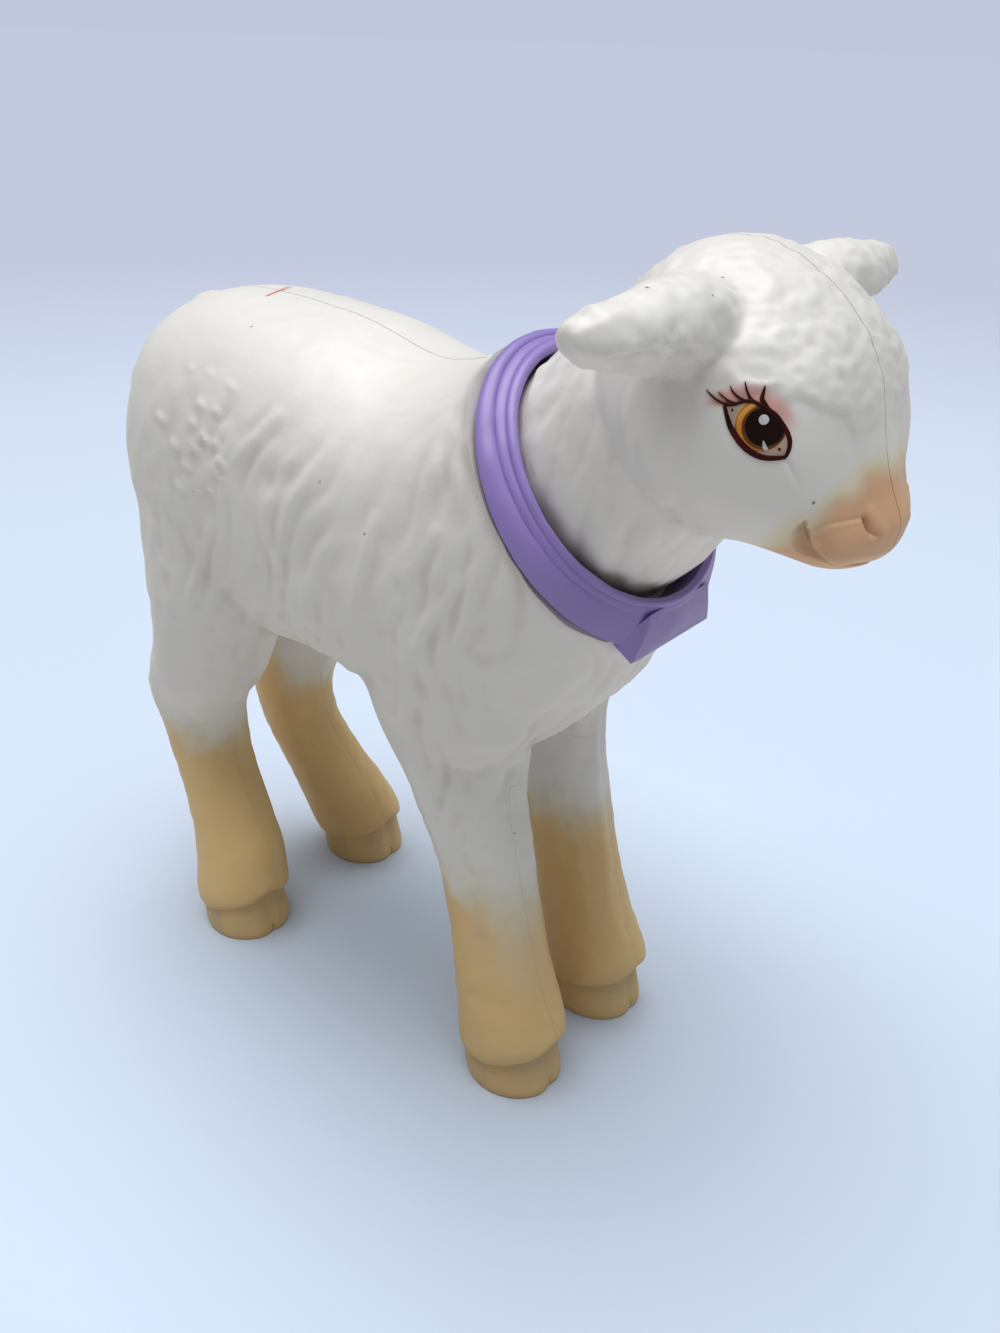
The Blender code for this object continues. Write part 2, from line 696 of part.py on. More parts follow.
def place_piece(name, mesh, material, parent=None):
    """Add a finished piece; a turning one keeps its origin on the joint's axis."""
    shade(mesh)
    if parent:
        mesh.transform(parent.matrix_world.inverted())
    obj = add_object(name, mesh, material)
    obj.parent = parent
    return obj


def build_trunk(white):
    skin, cavity = trunk_skin(), trunk_cavity()
    for side, word in ((-1, "right"), (1, "left")):
        place_piece(f"body_{word}_shell", trunk_shell(side, skin, cavity), white)
        place_piece(f"front_{word}_leg_inner_shell", leg_inner_shell(side, True, skin, cavity), white)
        place_piece(f"hind_{word}_leg_inner_shell", leg_inner_shell(side, False, skin, cavity), white)


def build_head(white):
    pivot = bpy.data.objects.new("head_pivot", None)
    bpy.context.collection.objects.link(pivot)
    pivot.matrix_world = neck_frame()
    bpy.context.view_layer.update()
    skin, cavity = head_skin(), head_cavity()
    for side, word in ((-1, "right"), (1, "left")):
        place_piece(f"head_{word}_shell", head_shell(side, skin, cavity), white, pivot)


def build_collar(lilac):
    ring = neck_turned(collar_section)
    place_piece("collar", join(ring, tag()), lilac)


def main():
    clear_scene()
    white = plastic("warm_white_plastic", SHELL_WHITE, SHELL_ROUGHNESS)
    lilac = plastic("lilac_plastic", COLLAR_LILAC, COLLAR_ROUGHNESS)
    build_trunk(white)
    build_head(white)
    build_collar(lilac)


main()
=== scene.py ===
"""Looks of the standing toy lamb: fleece, face, hooves and collar as fine shells, and the studio."""

from math import atan2, cos, exp, pi, radians, sin

import bmesh
import bpy
import numpy as np
from mathutils import Matrix, Vector, noise
from mathutils.bvhtree import BVHTree


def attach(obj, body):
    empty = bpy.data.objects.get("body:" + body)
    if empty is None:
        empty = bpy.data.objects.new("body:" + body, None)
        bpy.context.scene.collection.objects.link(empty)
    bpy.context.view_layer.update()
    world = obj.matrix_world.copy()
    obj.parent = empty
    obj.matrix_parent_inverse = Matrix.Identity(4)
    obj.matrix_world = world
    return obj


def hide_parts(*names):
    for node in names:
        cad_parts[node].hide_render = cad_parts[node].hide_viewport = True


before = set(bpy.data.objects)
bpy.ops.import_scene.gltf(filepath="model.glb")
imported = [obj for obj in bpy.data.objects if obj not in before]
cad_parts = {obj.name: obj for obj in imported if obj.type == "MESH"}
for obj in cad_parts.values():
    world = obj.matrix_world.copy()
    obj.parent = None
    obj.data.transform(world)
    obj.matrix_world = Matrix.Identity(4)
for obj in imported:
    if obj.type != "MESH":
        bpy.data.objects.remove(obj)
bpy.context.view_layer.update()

# Driving dimensions in metres, as in the part: x to the nose, y to the animal's left, z up from the soles
LENGTH = 0.146
HEIGHT = 0.148
WIDTH = 0.056
EAR_SPAN = 0.078
OVERRUN = 0.08
PARTING_GAP = 0.00016
LEG_GAP = 0.00005

# Surface fineness
TRUNK_VOXEL = 0.0007
HEAD_VOXEL = 0.00055
TRUNK_SMOOTH_PASSES = 18
HEAD_SMOOTH_PASSES = 20
SECTION_SIDES = 56
ROUND_SIDES = 144
STEPS_PER_SPAN = 6
TRUNK_SQUARENESS = 2.3
LIMB_SQUARENESS = 2.0
SHARP_ANGLE = radians(40)
CREASE_SPREAD = 3
CREASE_DEPTH = 0.000035
PRINT_REACH = 0.03

# Stations are pairs of profile points with a middle and a half width:
# front x, front z, back x, back z, middle y, half width, as shares of length, height and width
TRUNK_SHARES = [
    (-0.453, 0.716, -0.451, 0.622, 0.000, 0.143),
    (-0.447, 0.787, -0.440, 0.541, 0.000, 0.330),
    (-0.417, 0.845, -0.403, 0.493, 0.000, 0.434),
    (-0.352, 0.866, -0.342, 0.463, 0.000, 0.479),
    (-0.260, 0.868, -0.239, 0.456, 0.000, 0.487),
    (-0.143, 0.858, -0.123, 0.453, 0.000, 0.496),
    (-0.040, 0.835, 0.014, 0.436, 0.000, 0.496),
    (0.028, 0.845, 0.131, 0.419, 0.000, 0.482),
    (0.073, 0.865, 0.220, 0.514, 0.000, 0.455),
    (0.100, 0.886, 0.282, 0.615, 0.000, 0.432),
    (0.131, 0.909, 0.326, 0.652, 0.000, 0.418),
]
FRONT_LEG_SHARES = [
    (0.235, 0.064, 0.109, 0.031, 0.232, 0.154),
    (0.239, 0.080, 0.103, 0.046, 0.232, 0.164),
    (0.228, 0.115, 0.097, 0.088, 0.232, 0.159),
    (0.210, 0.169, 0.088, 0.149, 0.232, 0.145),
    (0.194, 0.236, 0.075, 0.223, 0.232, 0.136),
    (0.180, 0.304, 0.055, 0.297, 0.232, 0.141),
    (0.168, 0.365, 0.025, 0.365, 0.236, 0.155),
    (0.165, 0.419, -0.016, 0.432, 0.243, 0.164),
    (0.179, 0.486, -0.047, 0.500, 0.257, 0.189),
    (0.192, 0.568, -0.061, 0.568, 0.255, 0.207),
    (0.165, 0.655, -0.040, 0.655, 0.241, 0.179),
]
HIND_LEG_SHARES = [
    (-0.249, 0.058, -0.371, 0.024, 0.312, 0.150),
    (-0.247, 0.073, -0.379, 0.039, 0.307, 0.161),
    (-0.262, 0.115, -0.400, 0.088, 0.271, 0.154),
    (-0.294, 0.162, -0.423, 0.149, 0.241, 0.141),
    (-0.325, 0.216, -0.445, 0.209, 0.220, 0.136),
    (-0.335, 0.270, -0.460, 0.277, 0.218, 0.141),
    (-0.321, 0.324, -0.475, 0.338, 0.232, 0.159),
    (-0.280, 0.385, -0.462, 0.399, 0.259, 0.184),
    (-0.239, 0.459, -0.447, 0.473, 0.277, 0.205),
    (-0.205, 0.541, -0.446, 0.554, 0.277, 0.214),
    (-0.205, 0.642, -0.447, 0.655, 0.250, 0.218),
    (-0.246, 0.730, -0.431, 0.743, 0.232, 0.161),
]
TAIL_SHARES = [
    (-0.390, 0.855, -0.369, 0.770, 0.000, 0.080),
    (-0.448, 0.845, -0.407, 0.750, 0.000, 0.104),
    (-0.484, 0.791, -0.438, 0.703, 0.000, 0.111),
    (-0.498, 0.703, -0.448, 0.662, 0.000, 0.114),
    (-0.496, 0.595, -0.448, 0.588, 0.000, 0.107),
    (-0.482, 0.551, -0.451, 0.551, 0.000, 0.068),
]
NECK_SHARES = [
    (0.088, 0.836, 0.246, 0.630, 0.000, 0.333),
    (0.118, 0.858, 0.274, 0.656, 0.000, 0.333),
    (0.140, 0.875, 0.293, 0.675, 0.000, 0.333),
    (0.172, 0.897, 0.315, 0.697, 0.000, 0.332),
    (0.220, 0.933, 0.343, 0.726, 0.000, 0.327),
    (0.275, 0.959, 0.377, 0.757, 0.000, 0.304),
]
HEAD_SHARES = [
    (0.210, 0.912, 0.247, 0.818, 0.000, 0.161),
    (0.240, 0.963, 0.275, 0.770, 0.000, 0.304),
    (0.288, 0.995, 0.319, 0.742, 0.000, 0.375),
    (0.343, 0.997, 0.364, 0.734, 0.000, 0.393),
    (0.398, 0.976, 0.401, 0.735, 0.000, 0.375),
    (0.439, 0.941, 0.429, 0.736, 0.000, 0.329),
    (0.464, 0.899, 0.446, 0.736, 0.000, 0.275),
    (0.475, 0.851, 0.465, 0.736, 0.000, 0.225),
    (0.487, 0.815, 0.480, 0.739, 0.000, 0.229),
    (0.498, 0.794, 0.488, 0.745, 0.000, 0.204),
    (0.503, 0.783, 0.497, 0.754, 0.000, 0.154),
]
# Upper edge x, y, z, lower edge x, y, z and half thickness, as shares of length, ear span and height
EAR_SHARES = [
    (0.295, 0.115, 0.953, 0.343, 0.115, 0.895, 0.064),
    (0.316, 0.192, 0.977, 0.357, 0.192, 0.909, 0.072),
    (0.329, 0.263, 0.983, 0.355, 0.256, 0.912, 0.067),
    (0.331, 0.321, 0.981, 0.349, 0.314, 0.912, 0.061),
    (0.328, 0.397, 0.973, 0.340, 0.391, 0.918, 0.054),
    (0.327, 0.462, 0.969, 0.334, 0.458, 0.927, 0.044),
    (0.325, 0.499, 0.961, 0.327, 0.497, 0.939, 0.027),
]
# Neck joint: the head turns about the neck's own axis at the collar's front rim. Then the collar, its seat,
# the neck's skirt, the body's lip and the flange that holds the plug behind it
NECK_X_SHARE = 0.2116
NECK_Z_SHARE = 0.7649
NECK_TILT = radians(53.2)
COLLAR_BORE_RADIUS = 0.0200
COLLAR_BACK_RADIUS = 0.0242
COLLAR_CHEST_RADIUS = 0.0256
COLLAR_DEPTH = 0.0054
COLLAR_SLANT_SHARE = 0.03
COLLAR_LIP = 0.0026
COLLAR_RIM = 0.0005
LINER_DEPTH = 0.0062
LINER_THICKNESS = 0.00025
LINER_CLEARANCE = 0.00005
COLLAR_BACK_STEP = 0.0007
COLLAR_GROOVES_AT_BACK = (0.0216, 0.0228)
COLLAR_GROOVES_AT_CHEST = (0.0212, 0.0219)
COLLAR_BAND_LIFTS = (0.00032, 0.00022, 0.00050)
COLLAR_CHEST_LIFT_SHARES = (0.6, 0.2, 0.55)
COLLAR_WAVE_HEIGHT = 0.00010
COLLAR_WAVE_SIZE = 0.0035
BAND_STEPS = 12
BAND_CURVE = 0.7
RIM_ROUNDING_SHARE = 0.3
SEAT_WALL = 0.0020
SEAT_CLEARANCE = 0.0003
SEAT_SINK = 0.0060
SEAT_RADIUS = COLLAR_BORE_RADIUS + SEAT_WALL + SEAT_CLEARANCE
NECK_RADIUS = 0.0172
SKIRT_RADIUS = 0.0189
SKIRT_DEPTH = 0.0045
SKIRT_FRONT = 0.0004
LIP_FRONT = 0.0072
LIP_THICKNESS = 0.0024
LIP_BORE_RADIUS = 0.0150
TURN_CLEARANCE = 0.0005
FLANGE_RADIUS = 0.0175
FLANGE_THICKNESS = 0.0022
NECK_OVERLAP = 0.0040

# Tag at the lowest point of the collar: distance down the chest, half width and height of its corners
TAG_TOP = (0.0207, 0.0080, -0.0006)
TAG_CREASE = (0.0232, 0.0086, -0.0026)
TAG_FOOT_HALF_WIDTH = 0.0107
TAG_FOOT = 0.0262
TAG_SHOULDER_HALF_WIDTH = 0.0126
TAG_SHOULDER = 0.0221
TAG_ROUNDING = 0.0002

# Hooves with their clefts, and the cuffs of the legs over them
HOOF_LENGTH = 0.0186
HOOF_WIDTH = 0.0172
HOOF_HEIGHT = 0.0130
HOOF_TOP_SHARE = 0.86
HOOF_LEAN_SHARE = 0.10
HOOF_RING_SHARES = ((0, 0.94), (0.025, 0.965), (0.07, 0.985), (0.14, 1), (0.5, 1), (1, 1))
HOOF_ROUND_SIDES = 120
TOE_PARTING_SHARE = 0.07
TOE_PARTING_ANGLE = 0.20
CLEFT_OVERRUN = 0.0030
CLEFT_GROOVE = (0.0007, (0.0014, 0.0011), HOOF_HEIGHT * 0.72)
CLEFT_NICK = (0.0016, (0.0036, 0.0003), 0.0024)
FRONT_HOOF_SHARES = (0.174, 0.232)
HIND_HOOF_SHARES = (-0.305, 0.312)
FRONT_TOE_OUT = 0
HIND_TOE_OUT = radians(3)
CUFF_ARCH = 0.0022
CUFF_ARCH_HALF_WIDTH = 0.0026
CUFF_DIP = 0.0007
CUFF_REACH = 0.0150
CUFF_FLARE = 0.0004
CUFF_FADE = (1, 0.4)
ARCH_FRONT = (0, 0.35)
DIP_SPREAD = 0.3
DIP_OUTSIDE = (0, 0.4)
FLARE_FADE = (0.9, 0.55)

# Inner leg shells: split plane through the leg and the height where they meet the belly
FRONT_SPLIT_SHARE = 0.232
HIND_SPLIT_SHARES = (0.312, 0.214)
HIND_SPLIT_RISE_SHARE = 0.274
FRONT_TOP_SHARE = 0.405
HIND_TOP_SHARE = 0.390
LEG_DIVIDE_SHARE = -0.136

# The lines and spots below are in millimetres, on the animal's right side; the left side mirrors them.
# A pair of numbers is a ramp: where something starts and where it is full. Ramps along x, y and z are in
# millimetres, those across a line in metres, those along a line or by the way a face looks are shares.
MM = 0.001

# Fleece of the trunk: soft folds, the longest of them as ridge lines, and short flecks on the rump
FOLD_HEIGHT = 0.00068
FOLD_SIZE = 0.0036
FOLD_STRETCH = 4.5
UPRIGHT_RUN = (0.16, 0, 1)
SLANTED_RUN = (0.55, 0, 1)
DRIFT = 0.006
DRIFT_SIZE = 0.020
LUMP_HEIGHT = 0.00022
LUMP_SIZE = 0.0030
LUMP_RUN = (0.2, 0, 1)
LUMP_STRETCH = 1.5
LEG_BUMP_HEIGHT = 0.000176
LEG_BUMPS = (12, 16)
FINE_BUMP_SHARE = 0.6
RUMP = (-28, -44)
RUMP_SMOOTHNESS = 0.75
RUMP_WOOL_DROP = 10
SHOULDER = (-12, 6)
WOOL_FOOT = 46
WOOL_FULL = 66
BACK_SMOOTHNESS = 0.8
BACK_RISE = (0.30, 0.75)
RIDGE_HEIGHT = 0.00036
RIDGE_HALF_WIDTH = 0.0011
RIDGE_REACH = 0.0066
RIDGE_START = (0, 0.2)
RIDGE_END = (1, 0.75)
RIDGE_LINES = [
    [(-6.9, -20.2, 116.4), (-7.3, -23.2, 112.8), (-10.3, -26.3, 106.5), (-12.5, -27.5, 100.6),
     (-14.7, -27.7, 94.6)],
    [(-9.6, -22.0, 115.0), (-11.7, -24.2, 112.1), (-15.0, -26.4, 107.1), (-16.9, -27.7, 97.7),
     (-13.0, -26.5, 85.4)],
    [(-17.6, -21.8, 117.0), (-19.6, -24.1, 113.7), (-21.1, -25.8, 109.9)],
    [(4.9, -24.8, 108.2), (4.4, -26.7, 101.5), (3.1, -27.4, 95.7), (1.5, -27.3, 88.0)],
    [(13.2, -26.3, 100.1), (10.5, -27.0, 93.9), (8.2, -27.0, 88.3)],
    [(-29.9, -27.4, 97.8), (-33.9, -27.0, 92.8), (-39.3, -26.0, 84.0), (-43.3, -26.8, 75.2)],
    [(-49.2, -26.7, 92.6), (-48.8, -27.1, 86.7), (-45.6, -27.3, 81.0)],
    [(27.8, -24.2, 108.7), (25.1, -24.8, 103.7), (23.1, -25.2, 97.9), (21.3, -25.3, 91.0),
     (19.1, -24.5, 82.4)],
    [(17.7, -24.9, 108.5), (15.0, -25.9, 102.8), (11.9, -26.6, 97.9)],
    [(24.6, -24.8, 105.2), (21.8, -25.4, 100.5), (17.8, -26.1, 94.4), (13.9, -26.5, 88.0),
     (11.4, -25.7, 80.0)],
]
FLECK_HEIGHT = 0.00050
FLECK_HALF_WIDTH = 0.00062
FLECK_RUN = (1.0, 0.0, -0.55)
FLECK_HALF_LENGTHS = (0.5, 0.75, 1.0)
FLECK_SPOTS = [
    (-31.7, -24.3, 113.9), (-35.4, -26.4, 107.3), (-33.0, -25.9, 109.5), (-30.2, -26.0, 109.2),
    (-28.8, -27.0, 104.6), (-39.9, -27.1, 99.9), (-31.1, -27.2, 101.2), (-37.8, -26.8, 104.1),
    (-45.4, -25.5, 110.4), (-36.9, -25.3, 111.2), (-36.0, -24.1, 114.3), (-30.7, -22.0, 118.0),
    (-36.8, -21.3, 118.9), (-41.1, -26.4, 106.9), (-28.3, -26.7, 106.7), (-41.6, -21.4, 118.9),
]

# Face: mouth, soft upper edge of the lip pad, nostril, flap beside it, crease under the eye, edge of the
# woolly cap, and specks
FACE_LINES = {
    "mouth": [
        (65.7, -12.3, 117.2), (65.9, -11.9, 116.2), (66.2, -11.4, 115.1), (66.6, -11.0, 114.0),
        (67.2, -10.6, 112.9), (68.0, -10.1, 111.9), (68.9, -9.2, 111.0), (69.7, -7.6, 110.4),
        (70.3, -5.4, 110.0), (70.8, -2.6, 109.8), (71.0, 0.4, 109.7),
    ],
    "pad": [
        (65.7, -12.3, 117.3), (66.3, -11.6, 117.5), (67.3, -10.9, 117.7), (68.9, -9.5, 117.8),
        (70.3, -6.8, 117.8),
    ],
    "nostril": [
        (70.3, -6.7, 117.8), (70.6, -6.4, 117.8), (71.0, -6.1, 117.4), (71.4, -6.0, 116.7),
        (72.0, -5.7, 116.1), (72.5, -5.1, 115.7),
    ],
    "flap": [
        (71.3, -5.1, 118.3), (72.2, -4.6, 117.3), (72.6, -4.3, 116.6), (73.0, -4.0, 116.0),
    ],
    "eye_crease": [
        (64.2, -17.0, 126.6), (64.6, -16.3, 125.2), (65.0, -15.4, 123.6), (65.4, -14.4, 121.9),
    ],
    "cap": [
        (50.0, -38.6, 140.8), (51.0, -37.3, 140.7), (52.3, -33.5, 140.2), (53.7, -27.7, 139.9),
        (54.6, -24.0, 139.6), (54.8, -20.6, 138.2), (55.4, -19.3, 135.8), (57.5, -18.9, 135.0),
        (59.6, -17.9, 134.5), (61.4, -16.4, 134.4), (63.2, -14.8, 133.9), (64.8, -12.7, 133.2),
        (66.1, -9.6, 131.7), (67.6, -6.3, 128.9), (69.1, -4.1, 125.6),
    ],
    "specks": [
        (65.9, -13.1, 120.9), (49.4, -26.5, 144.9), (50.8, -12.4, 144.5),
    ],
}
JAW_STEP = 0.0012
JAW_RECESS = 0.0021
JAW_NARROWING = 0.62
JAW_TAPER = (0.05, 0.42)
JAW_CURVE = 0.8
FRONT_JAW = (0.45, 0.9)
FRONT_JAW_EASE = 0.35
# Grime and painted shade in the mouth's recess
RECESS_GRIME_AND_SHADE = 0.55
LIP_ROUNDING = 0.00022
PAD_RAISE = 0.00016
PAD_EDGE = (-0.0002, 0.0005)
PAD_FADE = (0.0035, 0.0005)
PAD_GROOVE = 0.00014
PAD_GROOVE_HALF_WIDTH = 0.00035
PAD_START = (0, 0.2)
NOSTRIL_DEPTH = 0.0010
NOSTRIL_HALF_WIDTH = 0.00042
NOSTRIL_START = (0, 0.25)
NOSTRIL_END = (0.5, 1)
NOSTRIL_EASE = 0.55
FLAP_RAISE = 0.00024
FLAP_HALF_WIDTH = 0.0009
EYE_CREASE_DEPTH = 0.00022
EYE_CREASE_HALF_WIDTH = 0.0004
EYE_CREASE_FADE = (1, 0.3)
FINE_REACH = 0.0030
FINER_CUTS = 2

# Woolly cap with its ragged edge, the step there, the folds down the neck, and the ear with its hollow
CAP_LUMP = 0.00027
CAP_LUMP_SIZE = 0.0034
CAP_FINE_SHARE = 0.7
CAP_FINE_SIZE = 0.00153
CAP_RAG = 0.0012
CAP_RAG_SIZE = 0.00238
CAP_FADE = (-0.0008, 0.0012)
CAP_BACK = (47, 52)
CAP_FOOT = (124, 128)
CROWN = (139.5, 142)
CAP_STEP = 0.0004
EAR_SHELF = 0.0013
SHELF_RUN = 0.0070
SHELF_DROP = 0.0014
SHELF_START = (0, 0.06)
SHELF_END = (1, 0.85)
NECK_FRONT = (57, 50)
NECK_LUMP_SHARE = 0.3
NECK_FOLD_HEIGHT = 0.00054
NECK_FOLD_SIZE = 0.00288
NECK_FOLD_RUN = (0.25, 0, 1)
NECK_FOLD_STRETCH = 3.5
EAR_START = (-20, -24)
EAR_HOLLOW = 0.0006
HOLLOW_RIM = (0.0006, 0.0020)
HOLLOW_FLOOR = (0.0075, 0.0045)
HOLLOW_TIP = (-37, -33)
HOLLOW_FACE = (0.15, 0.55)

# How far hind legs, front legs and muzzle are pushed from their plain forms at heights in millimetres, to
# follow the photo; throat and chin by place, reach and depth; the belly by one lift; and where each acts
HIND_PUSHES = [
    (18, 0), (26, -1.3), (32, -2.4), (38, -3.0), (45, -3.2), (50, -2.3), (55, -0.3), (62, 1.9),
    (72, 2.7), (80, 2.0), (90, 1.3), (110, 1.2), (122, 0),
]
FRONT_LEG_INSETS = [(12, 0), (20, 0.9), (30, 1.4), (45, 1.8), (55, 2.2), (64, 2.0), (72, 0)]
FRONT_LEG_SWELLS = [(12, 0), (22, 0.8), (35, 1.3), (52, 1.3), (60, 0)]
MUZZLE_INSETS = [
    (108, 0.6), (112, 1.5), (114, 1.9), (117, 2.0), (121, 1.2), (126, 0.9), (129, 0.9), (132, 0.6), (136, 0),
]
RIGHT_CORNER = (0.78, -0.626, 0)
CORNER_FACE = (0.35, 0.85)
MUZZLE_AXIS = 60
CORNER_BEARING = 40
CORNER_SPREAD = 22
JAW_PUSHES = [
    ((57, -6, 109.5), 5.0, 1.3), ((50, 0, 106), 5.0, 1.2), ((66.5, -5, 110), 3.2, -0.6),
    ((70.7, -5, 110.3), 2.6, 0.8),
]
JAW_NARROWNESS = (1, 0.5, 1)
JAW_UNDERSIDE = (0.1, 0.6)
HIND_QUARTERS = (-20, -27)
HIND_REAR = (0.0, 0.5)
HIND_SIDE = (-0.3, 0.3)
HIND_FRONT_SHARE = 0.62
FRONT_QUARTERS = (2, 6)
FRONT_LEG_TOP = (76, 70)
BELLY_LIFT = 0.0009
BELLY_FACE = (0.2, 0.7)
BELLY_BACK = (-26, -20)
BELLY_FRONT = (6, -2)
BELLY_FOOT = (55, 60)

# Printed eye: its middle on the skin, the way it faces, and its lines across and up from the middle
EYE_MIDDLE = (61.8, -18.44, 129.99)
EYE_FACING = (0.4283, -0.8615, 0.2727)
UPPER_LID = [
    (-4.93, 2.03), (-3.86, 2.22), (-2.72, 2.67), (-1.75, 2.76), (-0.92, 2.48), (-0.08, 2.06), (0.99, 1.47),
    (1.89, 0.56), (2.61, -0.36), (3.03, -1.3), (3.07, -2.29), (2.8, -3.21),
]
UPPER_LID_WIDTHS = (0.26, 0.36, 0.40, 0.40, 0.44, 0.54, 0.56, 0.52, 0.50, 0.50, 0.46, 0.38)
LOWER_LID = [
    (-4.82, 1.94), (-4.37, 0.8), (-3.83, -0.35), (-2.99, -1.46), (-2.07, -2.37), (-0.98, -3.07),
    (0.26, -3.45), (1.45, -3.43), (2.8, -3.21),
]
LOWER_LID_WIDTHS = (0.38, 0.50, 0.64, 0.72, 0.76, 0.72, 0.64, 0.58, 0.44)
LASHES = [
    ([(-4.21, 2.15), (-5.06, 2.28), (-5.9, 2.64), (-6.6, 3.13), (-7.12, 3.62)],
     (0.36, 0.30, 0.24, 0.18, 0.06)),
    ([(-3.64, 2.36), (-4.4, 2.57), (-5.04, 2.95), (-5.71, 3.48)], (0.34, 0.28, 0.20, 0.08)),
    ([(-2.57, 2.73), (-3.48, 3.14), (-4.08, 3.68), (-4.47, 4.23)], (0.32, 0.26, 0.20, 0.08)),
    ([(-1.0, 2.4), (-1.98, 3.07), (-2.53, 3.91), (-2.85, 4.86)], (0.36, 0.30, 0.24, 0.10)),
    ([(0.3, 1.8), (-0.35, 2.52), (-0.72, 3.17), (-0.63, 3.97), (-0.54, 4.66)],
     (0.50, 0.62, 0.50, 0.34, 0.12)),
]
IRIS = (-0.44, 0.14, 2.96)
IRIS_GLOW = (-0.50, 0.02, 2.72)
PUPIL = (0.03, 0.06, 2.28)
PUPIL_RIM = (-0.06, -0.02, 2.56)
HIGHLIGHT = (-0.21, 0.81, 0.58)
DROP = [
    (-0.03, -1.58), (0.10, -1.56), (0.27, -1.80), (0.50, -2.14), (0.70, -2.50), (0.38, -2.62), (0.08, -2.35),
    (0.00, -1.95),
]
EYE_DOTS = [(1.99, -2.35, 0.16), (-3.88, 1.59, 0.14)]
PRINT_SINK = 0.00012
PRINT_LIFTS = {"ground": 0.00005, "iris": 0.00007, "glow": 0.00009, "rim": 0.00011,
                "pupil": 0.00013, "line": 0.00016, "light": 0.00018}
DISC_RINGS = 14
DISC_SIDES = 96
PARALLEL = 1e-9

# Sprayed tan: height of its soft edge, its waves, and how it rises behind, on the left and on inner faces
TAN_EDGE = 40
TAN_FADE = 7
TAN_WAVES = ((0.006, 3, 11.0), (0.0022, 1.8, 12.0))
TAN_HIND = (-18, -24)
TAN_HIND_RISE = 2
TAN_LEFT = (0, 4)
TAN_LEFT_RISE = 4
LEGS_PART = -20
LEG_MIDDLES = (14, 13)
TAN_INSIDE = (1.5, -2.5)
TAN_HIND_FACE = (0.5, 0)
TAN_HIND_INNER_RISE = 6
TAN_BACK_FACE = (-0.2, -0.7)
TAN_INNER_BACK_RISE = 12
THIN_COAT = 0.4
THIN_FACE = (-0.1, 0.9)
THIN_HEIGHTS = (16, 38)
THIN_SIDE = (-6, -15)

# Sprayed peach on the muzzle, and pink along the upper lid
PEACH_MIDDLE = (71, 0, 112)
PEACH_REACH = (14, 17, 11)
PEACH_EDGE = (1.60, 0.42)
PEACH_WAVE = 0.22
PEACH_WAVE_SIZE = 0.004
BLUSH_FADE = (0.0026, 0.00091)
BLUSH_EDGE = (0.0003, -0.0003)
BLUSH_RUN = (0.85, 0.55)

# Painted shade behind the collar, in its seat and under the ear; grime on the chest seam; both in the neck
# gap
COLLAR_EDGE_SHADE = 0.35
COLLAR_EDGE_SHADE_SPREAD = 0.0011
COLLAR_EDGE_SHADE_REACH = (0.05, 0.03)
SEAT_SHADE = (0.0235, 0.0220)
SEAT_SHADE_FADE = 0.0005
SEAM_GRIME = 0.4
SEAM_HALF_WIDTH = 0.9
SEAM_FOOT = (100, 112)
SEAM_CHEST = (-6, 8)
GAP_GRIME_AND_SHADE = 0.2
GAP_GRIME_AND_SHADE_BELOW = 0.6
GAP_BELOW = (-0.006, 0.012)
GAP_FADE = (0.0018, -0.0012)
GAP_WAVE = 0.001
GAP_WAVE_SIZE = 0.004
EAR_SHADE = 0.16
EAR_SHADE_MIDDLE = (51.5, -23.5, 133.0)
EAR_SHADE_REACH = 4.5

# Marks left by use: a red scuff on the back, a grey one on a front leg, and specks
RED_SCUFF = [(-41.7, -4.2, 128.2), (-42.5, -1.7, 128.4), (-43.3, 0.8, 128.5), (-45.0, 3.9, 128.2)]
GREY_SCUFFS = [
    [(25.2, -16.9, 43.6), (25.7, -15.8, 44.3), (26.1, -14.0, 44.9)],
]
TRUNK_SPECKS = [
    (-35.1, -13.4, 125.5), (-36.3, -2.0, 128.2), (-6.8, -25.4, 108.5), (3.6, -26.4, 103.2),
    (-37.2, -26.9, 102.6), (-36.2, -27.1, 100.3),
]
SPECK_RADIUS = 0.00024
SCUFF_HALF_WIDTH = 0.00034
MARK_REACH = 0.0012
MARK_EDGE = (1.3, 0.6)
STUB = 0.02
GREY_SCUFF_DEPTH = 0.75

# Camera, from the photograph's perspective: focal length as a share of the frame's long side
FOCAL_SHARE = 1199.886 / 1333
SENSOR = 36
CAMERA_ELEVATION = radians(27.825)
CAMERA_ROLL = radians(1.738)
CAMERA_TURN = radians(38.764)
CAMERA_DISTANCE = 0.207618
CAMERA_AIM = (0.008848, 0, 0.072557)
NEAREST_SEEN = 0.01

# Masks of the white plastic beside its creases, and colours
WHITE_MASKS = ("tan", "peach", "blush", "grime", "red_mark", "dark_mark")
CLEAR = (1, 1, 1, 1)
WARM_WHITE = (0.80, 0.79, 0.765, 1)
CREAM = (0.74, 0.68, 0.50, 1)
TAN = (0.75, 0.525, 0.24, 1)
TAN_OVER_WHITE = tuple(coat / bare for coat, bare in zip(TAN, WARM_WHITE))
THIN_TAN = (0.92, 0.89, 0.76, 1)
PEACH = (0.68, 0.405, 0.235, 1)
BLUSH = (0.62, 0.25, 0.20, 1)
# Dark brown of dirt specks and grime, also painted shade in the collar's seat, the neck gap, under the ear
# and in the mouth
GRIME_AND_SHADE = (0.20, 0.13, 0.065, 1)
LILAC = (0.30, 0.225, 0.57, 1)
